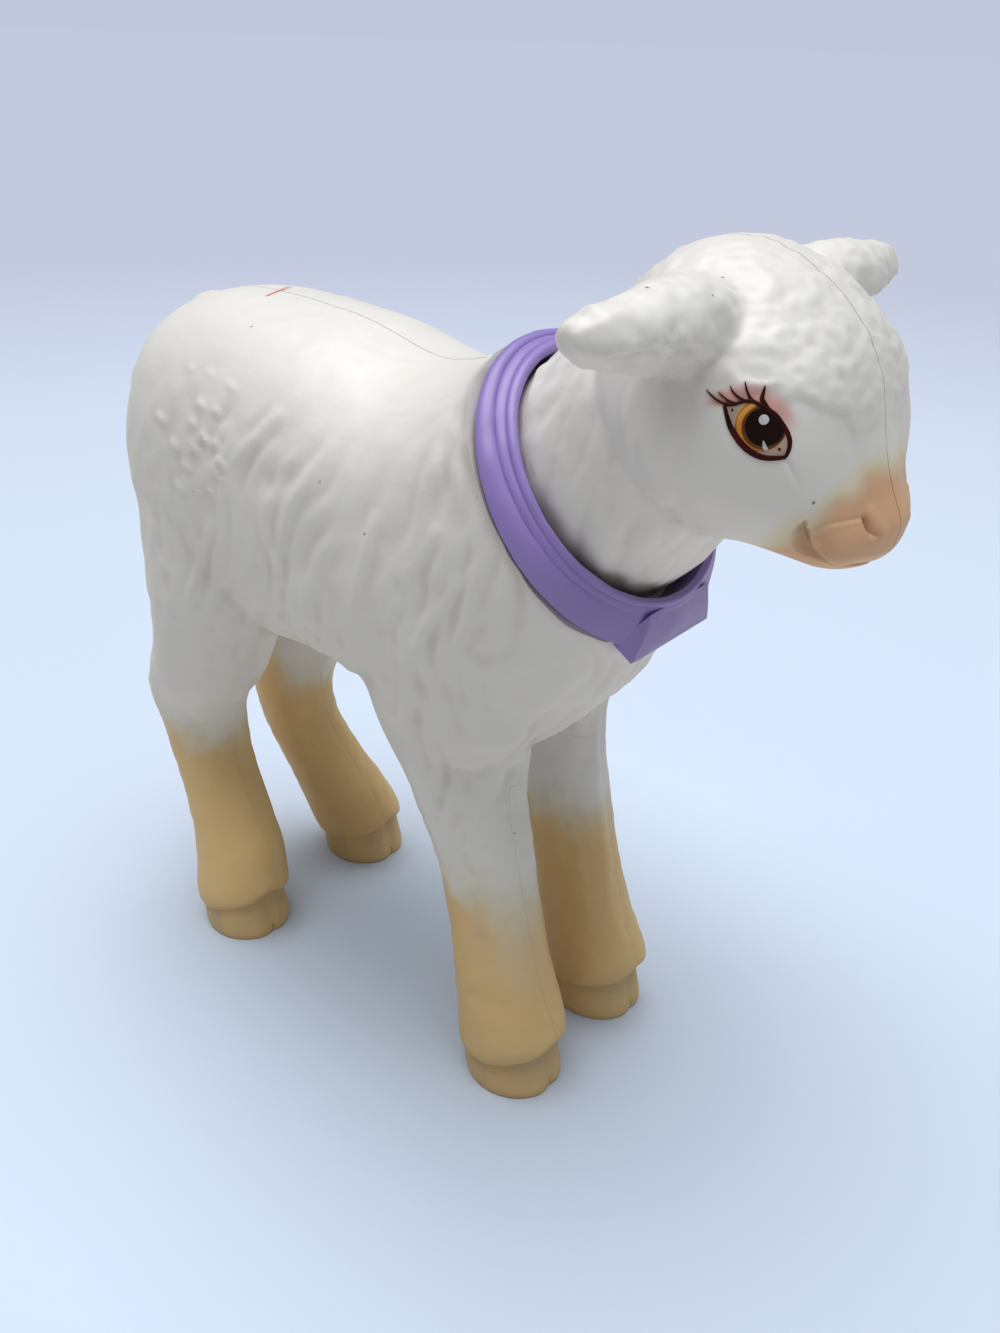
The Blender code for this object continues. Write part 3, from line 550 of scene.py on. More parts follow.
# Darker lilac: painted shade in the collar's grooves
SHADED_LILAC = (0.16, 0.10, 0.34, 1)
EYE_GROUND = (0.52, 0.42, 0.33, 1)
AMBER = (0.56, 0.22, 0.030, 1)
DARK_AMBER = (0.24, 0.085, 0.018, 1)
PUPIL_BLACK = (0.012, 0.006, 0.005, 1)
PUPIL_DARK = (0.020, 0.009, 0.007, 1)
LID_BROWN = (0.075, 0.008, 0.009, 1)
RIM_BROWN = (0.11, 0.035, 0.010, 1)
GLINT = (0.72, 0.72, 0.75, 1)
GLINT_SHADE = (0.45, 0.45, 0.48, 1)
EYE_GROUND_SHADE = (0.42, 0.33, 0.25, 1)
LIGHT_AMBER = (0.68, 0.36, 0.09, 1)
# Brown of dirt patches, also painted shade in creases
SOIL_AND_SHADE = (0.42, 0.36, 0.27, 1)
RED_MARK = (0.62, 0.12, 0.10, 1)
DARK_MARK = (0.16, 0.135, 0.12, 1)
FLOOR_COLOUR = (0.565, 0.655, 0.80, 1)
# Far floor colour: painted falloff of light away from the toy
FLOOR_FAR = (0.44, 0.475, 0.60, 1)
FLOOR_BOUNCE = (0.55, 0.55, 0.55, 1)
FAR_COLOUR = (0.535, 0.575, 0.71, 1)

# Ground and light
FLOOR_RADIUS = 30
FLOOR_SIDES = 96
LAMP_AIM = (0, 0, 0.06)
LAMP_SPREAD = radians(60)
SKY_PLACE = (-0.10, 0.02, 1.0)
SKY_STRENGTH = 3.55
SKY_COLOUR = (1, 0.995, 0.98)
WINDOW_PLACE = (0.8, 0.1, 0.55)
WINDOW_STRENGTH = 0.20
WINDOW_COLOUR = (0.80, 0.90, 1)
ROOM_COLOUR = (0.86, 0.91, 1, 1)
ROOM_STRENGTH = 0.10


def add_object(name, mesh, material=None):
    obj = bpy.data.objects.new(name, mesh)
    bpy.context.collection.objects.link(obj)
    if material:
        mesh.materials.clear()
        mesh.materials.append(material)
    return obj


def baked(obj):
    """Return the evaluated mesh of a helper object and remove the object."""
    bpy.context.view_layer.update()
    graph = bpy.context.evaluated_depsgraph_get()
    mesh = bpy.data.meshes.new_from_object(obj.evaluated_get(graph), depsgraph=graph)
    bpy.data.objects.remove(obj, do_unlink=True)
    return mesh


def combine(mesh, operation, tool):
    """Boolean of two closed meshes: DIFFERENCE, UNION or INTERSECT."""
    base_obj = add_object("base", mesh)
    tool_obj = add_object("tool", tool)
    modifier = base_obj.modifiers.new("combine", "BOOLEAN")
    modifier.operation = operation
    modifier.solver = "MANIFOLD"
    modifier.object = tool_obj
    combined = baked(base_obj)
    bpy.data.objects.remove(tool_obj, do_unlink=True)
    return combined


def cut(mesh, tool):
    return combine(mesh, "DIFFERENCE", tool)


def join(mesh, tool):
    return combine(mesh, "UNION", tool)


def keep(mesh, tool):
    return combine(mesh, "INTERSECT", tool)


def mesh_from(build, turn=None):
    """Make a mesh from a function that fills a bmesh, and turn it into place if asked."""
    bm = bmesh.new()
    build(bm)
    bmesh.ops.recalc_face_normals(bm, faces=bm.faces)
    mesh = bpy.data.meshes.new("form")
    bm.to_mesh(mesh)
    bm.free()
    if turn:
        mesh.transform(turn)
    return mesh


def box(low, high, turn=None):
    """Closed box between two corners, turned about the origin if asked."""
    middle = (Vector(high) + Vector(low)) / 2
    place = Matrix.Translation(middle) @ Matrix.Diagonal((*(Vector(high) - Vector(low)), 1))
    return mesh_from(lambda bm: bmesh.ops.create_cube(bm, size=1, matrix=place), turn)


def angles(count):
    return [2 * pi * index / count for index in range(count)]


def bridge(bm, first, second):
    """Faces between two rings of as many points."""
    for index in range(len(first)):
        after = (index + 1) % len(first)
        bm.faces.new((first[index], first[after], second[after], second[index]))


def prism(bm, rings):
    """Closed skin from ring to ring with a flat end at the first and the last."""
    for first, second in zip(rings, rings[1:]):
        bridge(bm, first, second)
    for ring in (rings[0], rings[-1]):
        bm.faces.new(ring)


def fan(bm, hub, ring):
    """Faces between a middle point and a ring."""
    for corner, after in zip(ring, ring[1:] + ring[:1]):
        bm.faces.new((hub, corner, after))


def neck_centre():
    return Vector((NECK_X_SHARE * LENGTH, 0, NECK_Z_SHARE * HEIGHT))


def neck_frame():
    """Frame at the collar's front rim whose z axis is the neck axis and whose x axis runs down the chest."""
    axis = Vector((sin(NECK_TILT), 0, cos(NECK_TILT)))
    down = Vector((cos(NECK_TILT), 0, -sin(NECK_TILT)))
    side = axis.cross(down)
    turn = Matrix((down, side, axis)).transposed().to_4x4()
    return Matrix.Translation(neck_centre()) @ turn


def neck_turned(section):
    """Ring about the neck axis: section gives its closed outline of radius and height at an angle."""
    def build(bm):
        columns = [[bm.verts.new((radius * cos(angle), radius * sin(angle), height))
                    for radius, height in section(angle)] for angle in angles(ROUND_SIDES)]
        for first, second in zip(columns, columns[1:] + columns[:1]):
            bridge(bm, first, second)

    return mesh_from(build, neck_frame())


def neck_cylinder(radius, low, high):
    """Closed cylinder on the neck axis."""
    def build(bm):
        prism(bm, [[bm.verts.new((radius * cos(angle), radius * sin(angle), height))
                    for angle in angles(ROUND_SIDES)] for height in (low, high)])

    return mesh_from(build, neck_frame())


def told_from(frame_of, places):
    """Places in the axes of a frame, from its origin."""
    into = frame_of.inverted()
    return places @ np.array(into.to_3x3()).T + np.array(into.translation)


def profile_station(shares, side):
    """Front and back points and half width of one station, in metres."""
    front_x, front_z, back_x, back_z, middle, half_width = shares
    y = side * middle * WIDTH
    front = Vector((front_x * LENGTH, y, front_z * HEIGHT))
    back = Vector((back_x * LENGTH, y, back_z * HEIGHT))
    return front, back, half_width * WIDTH


def ear_station(shares, side):
    upper = Vector((shares[0] * LENGTH, side * shares[1] * EAR_SPAN, shares[2] * HEIGHT))
    lower = Vector((shares[3] * LENGTH, side * shares[4] * EAR_SPAN, shares[5] * HEIGHT))
    return upper, lower, shares[6] * EAR_SPAN


def smooth_value(before, start, end, after, t):
    """Catmull-Rom value between start and end."""
    slope_in = (end - before) / 2
    slope_out = (after - start) / 2
    blend = t * t * (3 - 2 * t)
    rise_in = t * (1 - t) * (1 - t)
    rise_out = t * t * (t - 1)
    return start * (1 - blend) + end * blend + slope_in * rise_in + slope_out * rise_out


def refine(stations):
    """Smooth extra stations, each a row of numbers or vectors, between the given ones."""
    rows = []
    last = len(stations) - 1
    for index in range(last):
        picks = [stations[max(index - 1, 0)], stations[index],
                 stations[index + 1], stations[min(index + 2, last)]]
        for step in range(STEPS_PER_SPAN):
            t = step / STEPS_PER_SPAN
            rows.append(tuple(smooth_value(*parts, t) for parts in zip(*picks)))
    rows.append(tuple(stations[last]))
    return rows


def rounded(value, squareness):
    """Cosine or sine pushed out towards a square section."""
    return (1 if value > 0 else -1) * abs(value) ** (2 / squareness)


def loft(bm, rows, squareness):
    """Closed skin through oval sections, each set across the line of the middles."""
    middles = [(front + back) / 2 for front, back, _ in rows]
    rings = []
    for index, (front, back, half_width) in enumerate(rows):
        ahead = middles[min(index + 1, len(rows) - 1)]
        behind = middles[max(index - 1, 0)]
        reach = (front - back) / 2
        across = (ahead - behind).cross(reach).normalized() * half_width
        rings.append([bm.verts.new(middles[index] + reach * rounded(cos(angle), squareness)
                                   + across * rounded(sin(angle), squareness))
                      for angle in angles(SECTION_SIDES)])
    for first, second in zip(rings, rings[1:]):
        bridge(bm, first, second)
    for ring, middle in ((rings[0], middles[0]), (rings[-1], middles[-1])):
        fan(bm, bm.verts.new(middle), ring)


def melted(forms, voxel, passes):
    """One closed skin over several lofted forms, melted together where they meet."""
    mesh = bpy.data.meshes.new("blend")
    gathered = bmesh.new()
    for rows, squareness in forms:
        part = bmesh.new()
        loft(part, rows, squareness)
        bmesh.ops.recalc_face_normals(part, faces=part.faces)
        part.to_mesh(mesh)
        part.free()
        gathered.from_mesh(mesh)
    gathered.to_mesh(mesh)
    gathered.free()
    obj = add_object("blend", mesh)
    remesh = obj.modifiers.new("melt", "REMESH")
    remesh.mode = "VOXEL"
    remesh.voxel_size = voxel
    smooth = obj.modifiers.new("smooth", "SMOOTH")
    smooth.iterations = passes
    return baked(obj)


def sections(table, side=1, station=profile_station):
    """Finely spaced stations of one form."""
    return refine([station(row, side) for row in table])


def trunk_forms():
    forms = [(sections(TRUNK_SHARES), TRUNK_SQUARENESS), (sections(TAIL_SHARES), LIMB_SQUARENESS)]
    for side in (-1, 1):
        forms += [(sections(table, side), LIMB_SQUARENESS) for table in (FRONT_LEG_SHARES, HIND_LEG_SHARES)]
    return forms


def head_forms():
    forms = [sections(HEAD_SHARES), sections(NECK_SHARES)]
    forms += [sections(EAR_SHARES, side, ear_station) for side in (-1, 1)]
    return [(rows, LIMB_SQUARENESS) for rows in forms]


def points_of(mesh):
    """Vertex places and normals as two arrays of rows."""
    count = len(mesh.vertices)
    places, normals = np.empty(count * 3), np.empty(count * 3)
    mesh.vertices.foreach_get("co", places)
    mesh.vertex_normals.foreach_get("vector", normals)
    return places.reshape(-1, 3), normals.reshape(-1, 3)


def put_points(mesh, places):
    mesh.vertices.foreach_set("co", places.ravel())
    mesh.update()


def ramp(values, low, high):
    """0 below low, 1 above high, eased between; low may be the larger."""
    t = np.clip((values - low) / (high - low), 0, 1)
    return t * t * (3 - 2 * t)


def bell(distance, half_width):
    """1 at no distance, falling off smoothly with the half width."""
    return np.exp(-(distance / half_width) ** 2)


def waves(places, size, direction=(0, 0, 1), stretch=1.0, seed=0.0):
    """Smooth noise about 0 whose forms are stretched along a direction."""
    along = np.array(Vector(direction).normalized())
    pressed = places - np.outer(places @ along * (1 - 1 / stretch), along)
    return np.array([noise.noise(Vector(row)) for row in pressed / size + seed])


def tree_of(mesh):
    faces = [tuple(face.vertices) for face in mesh.polygons]
    return BVHTree.FromPolygons([vertex.co for vertex in mesh.vertices], faces)


def raise_surface(mesh, heights):
    """Move each vertex along its normal."""
    places, normals = points_of(mesh)
    put_points(mesh, places + normals * heights[:, None])


def side_flip(places):
    """Factors that mirror rows of the left side's points to the animal's right side."""
    return np.where(places[:, 1:2] > 0, [[1, -1, 1]], [[1, 1, 1]])


def right_sided(places, normals):
    """Places and normals mirrored to the right side together, by the side of the place."""
    flip = side_flip(places)
    return places * flip, normals * flip


def beside_line(places, normals, points):
    """Distance to a smooth line given in millimetres, the side on which a place lies, and the share along it.

    The side is above 0 where the line's direction crossed with the normal points.
    """
    line = np.array(refine(points)) * MM
    steps = line[1:] - line[:-1]
    lengths = np.linalg.norm(steps, axis=1)
    walked = np.concatenate([[0], np.cumsum(lengths)])
    nearest = np.full(len(places), np.inf)
    side = np.zeros(len(places))
    share = np.zeros(len(places))
    for index, step in enumerate(steps):
        t = np.clip((places - line[index]) @ step / lengths[index] ** 2, 0, 1)
        away = places - line[index] - t[:, None] * step
        distance = np.linalg.norm(away, axis=1)
        closer = distance < nearest
        nearest[closer] = distance[closer]
        turned = np.cross(step / lengths[index], normals[closer])
        side[closer] = np.einsum("ij,ij->i", away[closer], turned)
        share[closer] = (walked[index] + t[closer] * lengths[index]) / walked[-1]
    return nearest, side, share


def distance_to(places, points):
    """Distance to a smooth line given in millimetres."""
    return beside_line(places, np.zeros_like(places), points)[0]


def ridges(places, normals):
    """Long folds and short flecks of the fleece, as raised lines."""
    height = np.zeros(len(places))
    run = np.array(Vector(FLECK_RUN).normalized())
    flecks = []
    for index, spot in enumerate(np.array(FLECK_SPOTS)):
        half = run * FLECK_HALF_LENGTHS[index % len(FLECK_HALF_LENGTHS)]
        flecks.append([tuple(spot - half), tuple(spot), tuple(spot + half)])
    for lines, raised, half_width in ((RIDGE_LINES, RIDGE_HEIGHT, RIDGE_HALF_WIDTH),
                                      (flecks, FLECK_HEIGHT, FLECK_HALF_WIDTH)):
        for line in lines:
            corners = np.array(line) * MM
            low, high = corners.min(axis=0) - RIDGE_REACH, corners.max(axis=0) + RIDGE_REACH
            inside = np.all((places > low) & (places < high), axis=1)
            distance, _, share = beside_line(places[inside], normals[inside], line)
            ends = 1 if lines is flecks else ramp(share, *RIDGE_START) * ramp(share, *RIDGE_END)
            height[inside] = np.maximum(height[inside], raised * bell(distance, half_width) * ends)
    return height


def fleece(places, normals):
    """Moulded fleece of the trunk: folds on flank and shoulder, flecks on the rump, a smooth back."""
    x, _, z = places.T / MM
    drift = np.stack([waves(places, DRIFT_SIZE, seed=seed) for seed in (3.1, 8.7, 5.3)], axis=1) * DRIFT
    loose = places + drift
    upright = waves(loose, FOLD_SIZE, UPRIGHT_RUN, FOLD_STRETCH)
    slanted = waves(loose, FOLD_SIZE, SLANTED_RUN, FOLD_STRETCH, 4.0)
    lumps = waves(loose, LUMP_SIZE, LUMP_RUN, LUMP_STRETCH, 2.0)
    rump, shoulder = ramp(x, *RUMP), ramp(x, *SHOULDER)
    wool = ramp(z, WOOL_FOOT - RUMP_WOOL_DROP * rump, WOOL_FULL)
    back = 1 - BACK_SMOOTHNESS * ramp(normals[:, 2], *BACK_RISE)
    folds = slanted * (1 - shoulder) + upright * shoulder
    height = folds * FOLD_HEIGHT * (1 - RUMP_SMOOTHNESS * rump) + lumps * LUMP_HEIGHT
    height += ridges(*right_sided(places, normals))
    bumps = waves(places, LUMP_SIZE, seed=6.0) + FINE_BUMP_SHARE * waves(places, LUMP_SIZE / 2, seed=9.0)
    bumps *= LEG_BUMP_HEIGHT * ramp(z, *LEG_BUMPS)
    return height * wool * back + bumps * (1 - wool)


def pushed(values, table):
    """Amounts in metres read from a table of heights and amounts in millimetres."""
    heights, amounts = zip(*table)
    return np.interp(values, heights, amounts) * MM


def follow_legs(mesh):
    """Bring hocks, thighs, front legs and belly from their plain forms to the outline in the photo."""
    places, normals = points_of(mesh)
    right, facing = right_sided(places, normals)
    x, _, z = right.T / MM
    moved = places.copy()
    back = pushed(z, HIND_PUSHES)
    follows = HIND_FRONT_SHARE + (1 - HIND_FRONT_SHARE) * ramp(-normals[:, 0], *HIND_SIDE)
    back *= np.where(back > 0, ramp(-normals[:, 0], *HIND_REAR), follows)
    moved[:, 0] += back * ramp(x, *HIND_QUARTERS)
    towards = facing @ np.array(RIGHT_CORNER)
    outward = -pushed(z, FRONT_LEG_INSETS) * ramp(towards, *CORNER_FACE)
    outward += pushed(z, FRONT_LEG_SWELLS) * ramp(-towards, *CORNER_FACE)
    moved += normals * (outward * ramp(x, *FRONT_QUARTERS) * ramp(z, *FRONT_LEG_TOP))[:, None]
    belly = ramp(x, *BELLY_BACK) * ramp(x, *BELLY_FRONT) * ramp(z, *BELLY_FOOT)
    moved[:, 2] += BELLY_LIFT * ramp(-normals[:, 2], *BELLY_FACE) * belly
    put_points(mesh, moved)


def follow_face(mesh):
    """Slim the muzzle's corners, lift the throat and round the chin, as in the photo."""
    places, normals = points_of(mesh)
    right, facing = right_sided(places, normals)
    x, y, z = right.T / MM
    bearing = np.degrees(np.arctan2(-y, x - MUZZLE_AXIS))
    inset = pushed(z, MUZZLE_INSETS) * bell(bearing - CORNER_BEARING, CORNER_SPREAD)
    height = np.zeros(len(places))
    for place, reach, amount in JAW_PUSHES:
        away = np.linalg.norm((right / MM - place) * JAW_NARROWNESS, axis=1)
        height -= amount * MM * bell(away, reach) * ramp(-facing[:, 2], *JAW_UNDERSIDE)
    put_points(mesh, places + normals * height[:, None] - side_flip(places) * RIGHT_CORNER * inset[:, None])


def cuff_shape(mesh):
    """Raise the lower edge of each leg over the cleft, dip it outside and flare it over the hoof."""
    places, _ = points_of(mesh)
    moved = places.copy()
    for side, place, toe_out in hooves():
        turn = hoof_turn(side, place, toe_out)
        x, y, z = told_from(turn, places).T
        low = ramp(z / CUFF_REACH, *CUFF_FADE) * ((np.abs(x) < HOOF_LENGTH) & (np.abs(y) < HOOF_WIDTH))
        arch = CUFF_ARCH * bell(y, CUFF_ARCH_HALF_WIDTH) * ramp(x / HOOF_LENGTH, *ARCH_FRONT)
        dip = CUFF_DIP * bell(x / HOOF_LENGTH, DIP_SPREAD) * ramp(y * side / HOOF_WIDTH, *DIP_OUTSIDE)
        moved[:, 2] += (arch - dip) * low
        outward = places - np.array(turn.translation) + (HOOF_LEAN_SHARE * HOOF_LENGTH, 0, 0)
        outward[:, 2] = 0
        size = np.linalg.norm(outward, axis=1)[:, None] + MM
        moved += outward / size * (CUFF_FLARE * ramp(z / CUFF_REACH, *FLARE_FADE) * low)[:, None]
    put_points(mesh, moved)


def face_lines(mesh):
    """The lines of face and cap, moved to the nearest places on the head's skin."""
    tree = tree_of(mesh)
    return {name: [tuple(tree.find_nearest(Vector(point) * MM)[0] / MM) for point in points]
            for name, points in FACE_LINES.items()}


def mouth_recess(places, normals, mouth):
    """Depth shares of the jaw under the lip and of the lip's rounded edge, and the share along the mouth."""
    distance, side, share = beside_line(places, normals, mouth)
    width = JAW_RECESS * (1 - JAW_NARROWING * ramp(share, *JAW_TAPER))
    recess = np.where(side > 0, np.clip(1 - distance / width, 0, 1) ** JAW_CURVE, 0)
    return recess, np.where(side > 0, 0, bell(distance, LIP_ROUNDING)), share


def face_relief(places, normals, lines):
    """Mouth with its overhanging lip pad, nostrils with their flaps, creases, woolly cap and ear hollows."""
    places, normals = right_sided(places, normals)
    recess, lip, share = mouth_recess(places, normals, lines["mouth"])
    height = -JAW_STEP * (1 - FRONT_JAW_EASE * ramp(share, *FRONT_JAW)) * np.maximum(recess, lip)
    distance, side, share = beside_line(places, normals, lines["pad"])
    height += PAD_RAISE * ramp(side, *PAD_EDGE) * ramp(distance, *PAD_FADE)
    height -= PAD_GROOVE * bell(distance, PAD_GROOVE_HALF_WIDTH) * ramp(share, *PAD_START)
    distance, _, share = beside_line(places, normals, lines["nostril"])
    nostril = bell(distance, NOSTRIL_HALF_WIDTH) * ramp(share, *NOSTRIL_START)
    height -= NOSTRIL_DEPTH * nostril * (1 - NOSTRIL_EASE * ramp(share, *NOSTRIL_END))
    height += FLAP_RAISE * bell(beside_line(places, normals, lines["flap"])[0], FLAP_HALF_WIDTH)
    distance, _, share = beside_line(places, normals, lines["eye_crease"])
    height -= EYE_CREASE_DEPTH * bell(distance, EYE_CREASE_HALF_WIDTH) * ramp(share, *EYE_CREASE_FADE)
    return height + woolly(places, normals, lines["cap"])


def woolly(places, normals, cap_edge):
    """Woolly cap that ends in a step over the face and the ear's hollow, and folds down the neck."""
    x, y, z = places.T / MM
    distance, side, share = beside_line(places, normals, cap_edge)
    past = np.where(side < 0, -distance, distance) + waves(places, CAP_RAG_SIZE, seed=17.0) * CAP_RAG
    distance = np.abs(past)
    ear = ramp(y, *EAR_START)
    above = np.where(past < 0, np.clip(1 - distance / SHELF_RUN, 0, 1), ramp(distance, SHELF_DROP, 0))
    step = CAP_STEP + (EAR_SHELF - CAP_STEP) * ear
    shelf = step * above * ramp(share, *SHELF_START) * ramp(share, *SHELF_END)
    lumps = waves(places, CAP_LUMP_SIZE, seed=1.0) + CAP_FINE_SHARE * waves(places, CAP_FINE_SIZE, seed=7.0)
    folds = waves(places, NECK_FOLD_SIZE, NECK_FOLD_RUN, NECK_FOLD_STRETCH, 5.0)
    cap = ramp(-past, *CAP_FADE) * ramp(x, *CAP_BACK) * ramp(z, *CAP_FOOT)
    cap = np.maximum(cap, ramp(z, *CROWN))
    neck = ramp(x, *NECK_FRONT) * (1 - cap)
    hollow = EAR_HOLLOW * ear * (past > 0) * ramp(distance, *HOLLOW_RIM) * ramp(distance, *HOLLOW_FLOOR)
    hollow *= ramp(y, *HOLLOW_TIP) * ramp(normals[:, 0], *HOLLOW_FACE)
    wool = lumps * CAP_LUMP * (cap + NECK_LUMP_SHARE * neck) + folds * NECK_FOLD_HEIGHT * neck
    return shelf + wool - hollow


def stubs(spots):
    """Very short lines, one for each spot."""
    return [[spot, (spot[0] + STUB, *spot[1:])] for spot in spots]


def marked(places, lines, half_width):
    """Mask of thin marks along the given lines."""
    low, high = (half_width * share for share in MARK_EDGE)
    return np.max([ramp(distance_to(places, line), low, high) for line in lines], axis=0)


def finer_near(mesh, lines, reach):
    """Split the faces near the given lines so that crisp forms have points to stand on."""
    places, _ = points_of(mesh)
    right = places * side_flip(places)
    near = np.any([distance_to(right, line) < reach for line in lines], axis=0)
    bm = bmesh.new()
    bm.from_mesh(mesh)
    bm.verts.ensure_lookup_table()
    edges = [edge for edge in bm.edges if near[edge.verts[0].index] and near[edge.verts[1].index]]
    bmesh.ops.subdivide_edges(bm, edges=edges, cuts=FINER_CUTS, use_grid_fill=True)
    bm.normal_update()
    bm.to_mesh(mesh)
    bm.free()
    mesh.update()


def hoof_turn(side, place, toe_out):
    x_share, y_share = place
    turn = Matrix.Translation((x_share * LENGTH, side * y_share * WIDTH, 0))
    return turn @ Matrix.Rotation(side * toe_out, 4, "Z")


def hoof(side, place, toe_out):
    """Hoof block with a flat sole, leaning back as it rises, drawn in between its two toes."""
    def build(bm):
        rings = []
        for rise_share, swell_share in HOOF_RING_SHARES:
            foot_share = (1 - (1 - HOOF_TOP_SHARE) * rise_share) * swell_share
            lean = HOOF_LEAN_SHARE * HOOF_LENGTH * rise_share
            ring = []
            for angle in angles(HOOF_ROUND_SIDES):
                from_toe = abs((angle + pi) % (2 * pi) - pi)
                drawn_in = 1 - TOE_PARTING_SHARE * exp(-(from_toe / TOE_PARTING_ANGLE) ** 2)
                across = HOOF_WIDTH / 2 * foot_share * drawn_in * sin(angle)
                along = HOOF_LENGTH / 2 * foot_share * drawn_in * cos(angle) - lean
                ring.append(bm.verts.new((along, across, rise_share * HOOF_HEIGHT)))
            rings.append(ring)
        prism(bm, rings)

    return mesh_from(build, hoof_turn(side, place, toe_out))


def cleft(side, place, toe_out, depth, half_widths, top):
    """Wedge cut in the front of a hoof: half widths at the sole and at the top."""
    def build(bm):
        rings = []
        for z, half_width in zip((-CLEFT_OVERRUN, top), half_widths):
            tip = HOOF_LENGTH / 2 - z * HOOF_LEAN_SHARE
            ahead = tip + CLEFT_OVERRUN
            rings.append([bm.verts.new(corner) for corner in (
                (tip - depth, 0, z), (ahead, -half_width, z), (ahead, half_width, z))])
        prism(bm, rings)

    return mesh_from(build, hoof_turn(side, place, toe_out))


def hooves():
    for side in (-1, 1):
        yield side, FRONT_HOOF_SHARES, FRONT_TOE_OUT
        yield side, HIND_HOOF_SHARES, HIND_TOE_OUT


def span(side, near, far):
    """Low and high end across the part of a span given as seen from its left side."""
    return (near, far) if side > 0 else (-far, -near)


def half_space(side):
    """Block on one side of the parting plane, half the parting gap away from it."""
    low_y, high_y = span(side, PARTING_GAP / 2, OVERRUN)
    return box((-LENGTH, low_y, -OVERRUN), (LENGTH, high_y, 2 * HEIGHT))


def leg_block(side, front, gap):
    """Block that holds the inner half of one leg, gap smaller all round."""
    if front:
        top, tilt = FRONT_TOP_SHARE * HEIGHT, 0
        x_low, x_high = LEG_DIVIDE_SHARE * LENGTH, LENGTH
        foot_y = FRONT_SPLIT_SHARE * WIDTH
    else:
        foot_y, hock_y = (share * WIDTH for share in HIND_SPLIT_SHARES)
        top = HIND_TOP_SHARE * HEIGHT
        tilt = atan2(foot_y - hock_y, HIND_SPLIT_RISE_SHARE * HEIGHT)
        x_low, x_high = -LENGTH, LEG_DIVIDE_SHARE * LENGTH
    lean = Matrix.Translation((0, side * (foot_y - gap), 0)) @ Matrix.Rotation(side * tilt, 4, "X")
    blocks = []
    for (low_y, high_y), high_z, turn in ((span(side, -OVERRUN, 0), 2 * HEIGHT, lean),
                                          (span(side, PARTING_GAP / 2, OVERRUN), top - gap, None)):
        blocks.append(box((x_low, low_y, -OVERRUN), (x_high, high_y, high_z), turn))
    return keep(*blocks)


def space_before_collar_back():
    """Block ahead of the slanted plane that the collar's back lies on."""
    block = box((-OVERRUN, -OVERRUN, 0), (OVERRUN, OVERRUN, OVERRUN))
    slant = Matrix.Rotation(atan2(COLLAR_SLANT_SHARE, 1), 4, "Y")
    block.transform(neck_frame() @ Matrix.Translation((0, 0, -COLLAR_DEPTH)) @ slant)
    return block


def trunk_skin():
    """Skin of trunk and legs with fleece, crisp hooves, the collar's seat and the neck's room."""
    skin = melted(trunk_forms(), TRUNK_VOXEL, TRUNK_SMOOTH_PASSES)
    follow_legs(skin)
    cuff_shape(skin)
    finer_near(skin, GREY_SCUFFS + [RED_SCUFF] + stubs(TRUNK_SPECKS), MARK_REACH)
    raise_surface(skin, fleece(*points_of(skin)))
    skin = cut(skin, space_before_collar_back())
    seat = neck_cylinder(COLLAR_BORE_RADIUS + SEAT_WALL, -COLLAR_DEPTH - SEAT_SINK,
                         -COLLAR_LIP - SEAT_CLEARANCE)
    skin = join(skin, seat)
    for side, place, toe_out in hooves():
        skin = join(skin, hoof(side, place, toe_out))
    for side, place, toe_out in hooves():
        for form in (CLEFT_GROOVE, CLEFT_NICK):
            skin = cut(skin, cleft(side, place, toe_out, *form))
    skin = cut(skin, box((-LENGTH, -OVERRUN, -OVERRUN), (LENGTH, OVERRUN, 0)))
    lip_back = -LIP_FRONT - LIP_THICKNESS
    skin = cut(skin, neck_cylinder(COLLAR_BORE_RADIUS, -LIP_FRONT, OVERRUN))
    skin = cut(skin, neck_cylinder(LIP_BORE_RADIUS + TURN_CLEARANCE, lip_back - NECK_OVERLAP, OVERRUN))
    room_back = lip_back - FLANGE_THICKNESS - NECK_OVERLAP
    return cut(skin, neck_cylinder(FLANGE_RADIUS + TURN_CLEARANCE, room_back, lip_back))


def trunk_shell(side, skin):
    half = keep(skin.copy(), half_space(side))
    for front in (True, False):
        half = cut(half, leg_block(side, front, -LEG_GAP / 2))
    return half


def head_skin():
    """Skin of head and ears with its face, the neck skirt inside the collar, and the plug that turns."""
    skin = melted(head_forms(), HEAD_VOXEL, HEAD_SMOOTH_PASSES)
    follow_face(skin)
    lines = face_lines(skin)
    finer_near(skin, [lines[name] for name in ("mouth", "pad", "nostril", "flap", "eye_crease")], FINE_REACH)
    finer_near(skin, stubs(lines["specks"][1:]), MARK_REACH)
    raise_surface(skin, face_relief(*points_of(skin), lines))
    skin = cut(skin, neck_cylinder(OVERRUN, -OVERRUN, -SKIRT_DEPTH))
    around = [(SKIRT_RADIUS, -NECK_OVERLAP), (SKIRT_RADIUS, SKIRT_FRONT),
              (OVERRUN, SKIRT_FRONT), (OVERRUN, -NECK_OVERLAP)]
    skin = cut(skin, neck_turned(lambda angle: around))
    skin = join(skin, neck_cylinder(NECK_RADIUS, -LIP_FRONT + TURN_CLEARANCE, NECK_OVERLAP))
    flange_front = -LIP_FRONT - LIP_THICKNESS - TURN_CLEARANCE
    flange_back = flange_front - FLANGE_THICKNESS
    skin = join(skin, neck_cylinder(LIP_BORE_RADIUS, flange_back, NECK_OVERLAP))
    return join(skin, neck_cylinder(FLANGE_RADIUS, flange_back, flange_front)), lines


def collar_back(radius, angle):
    """Height of the collar's slanted back face."""
    return SEAT_CLEARANCE - COLLAR_DEPTH - COLLAR_SLANT_SHARE * radius * cos(angle)


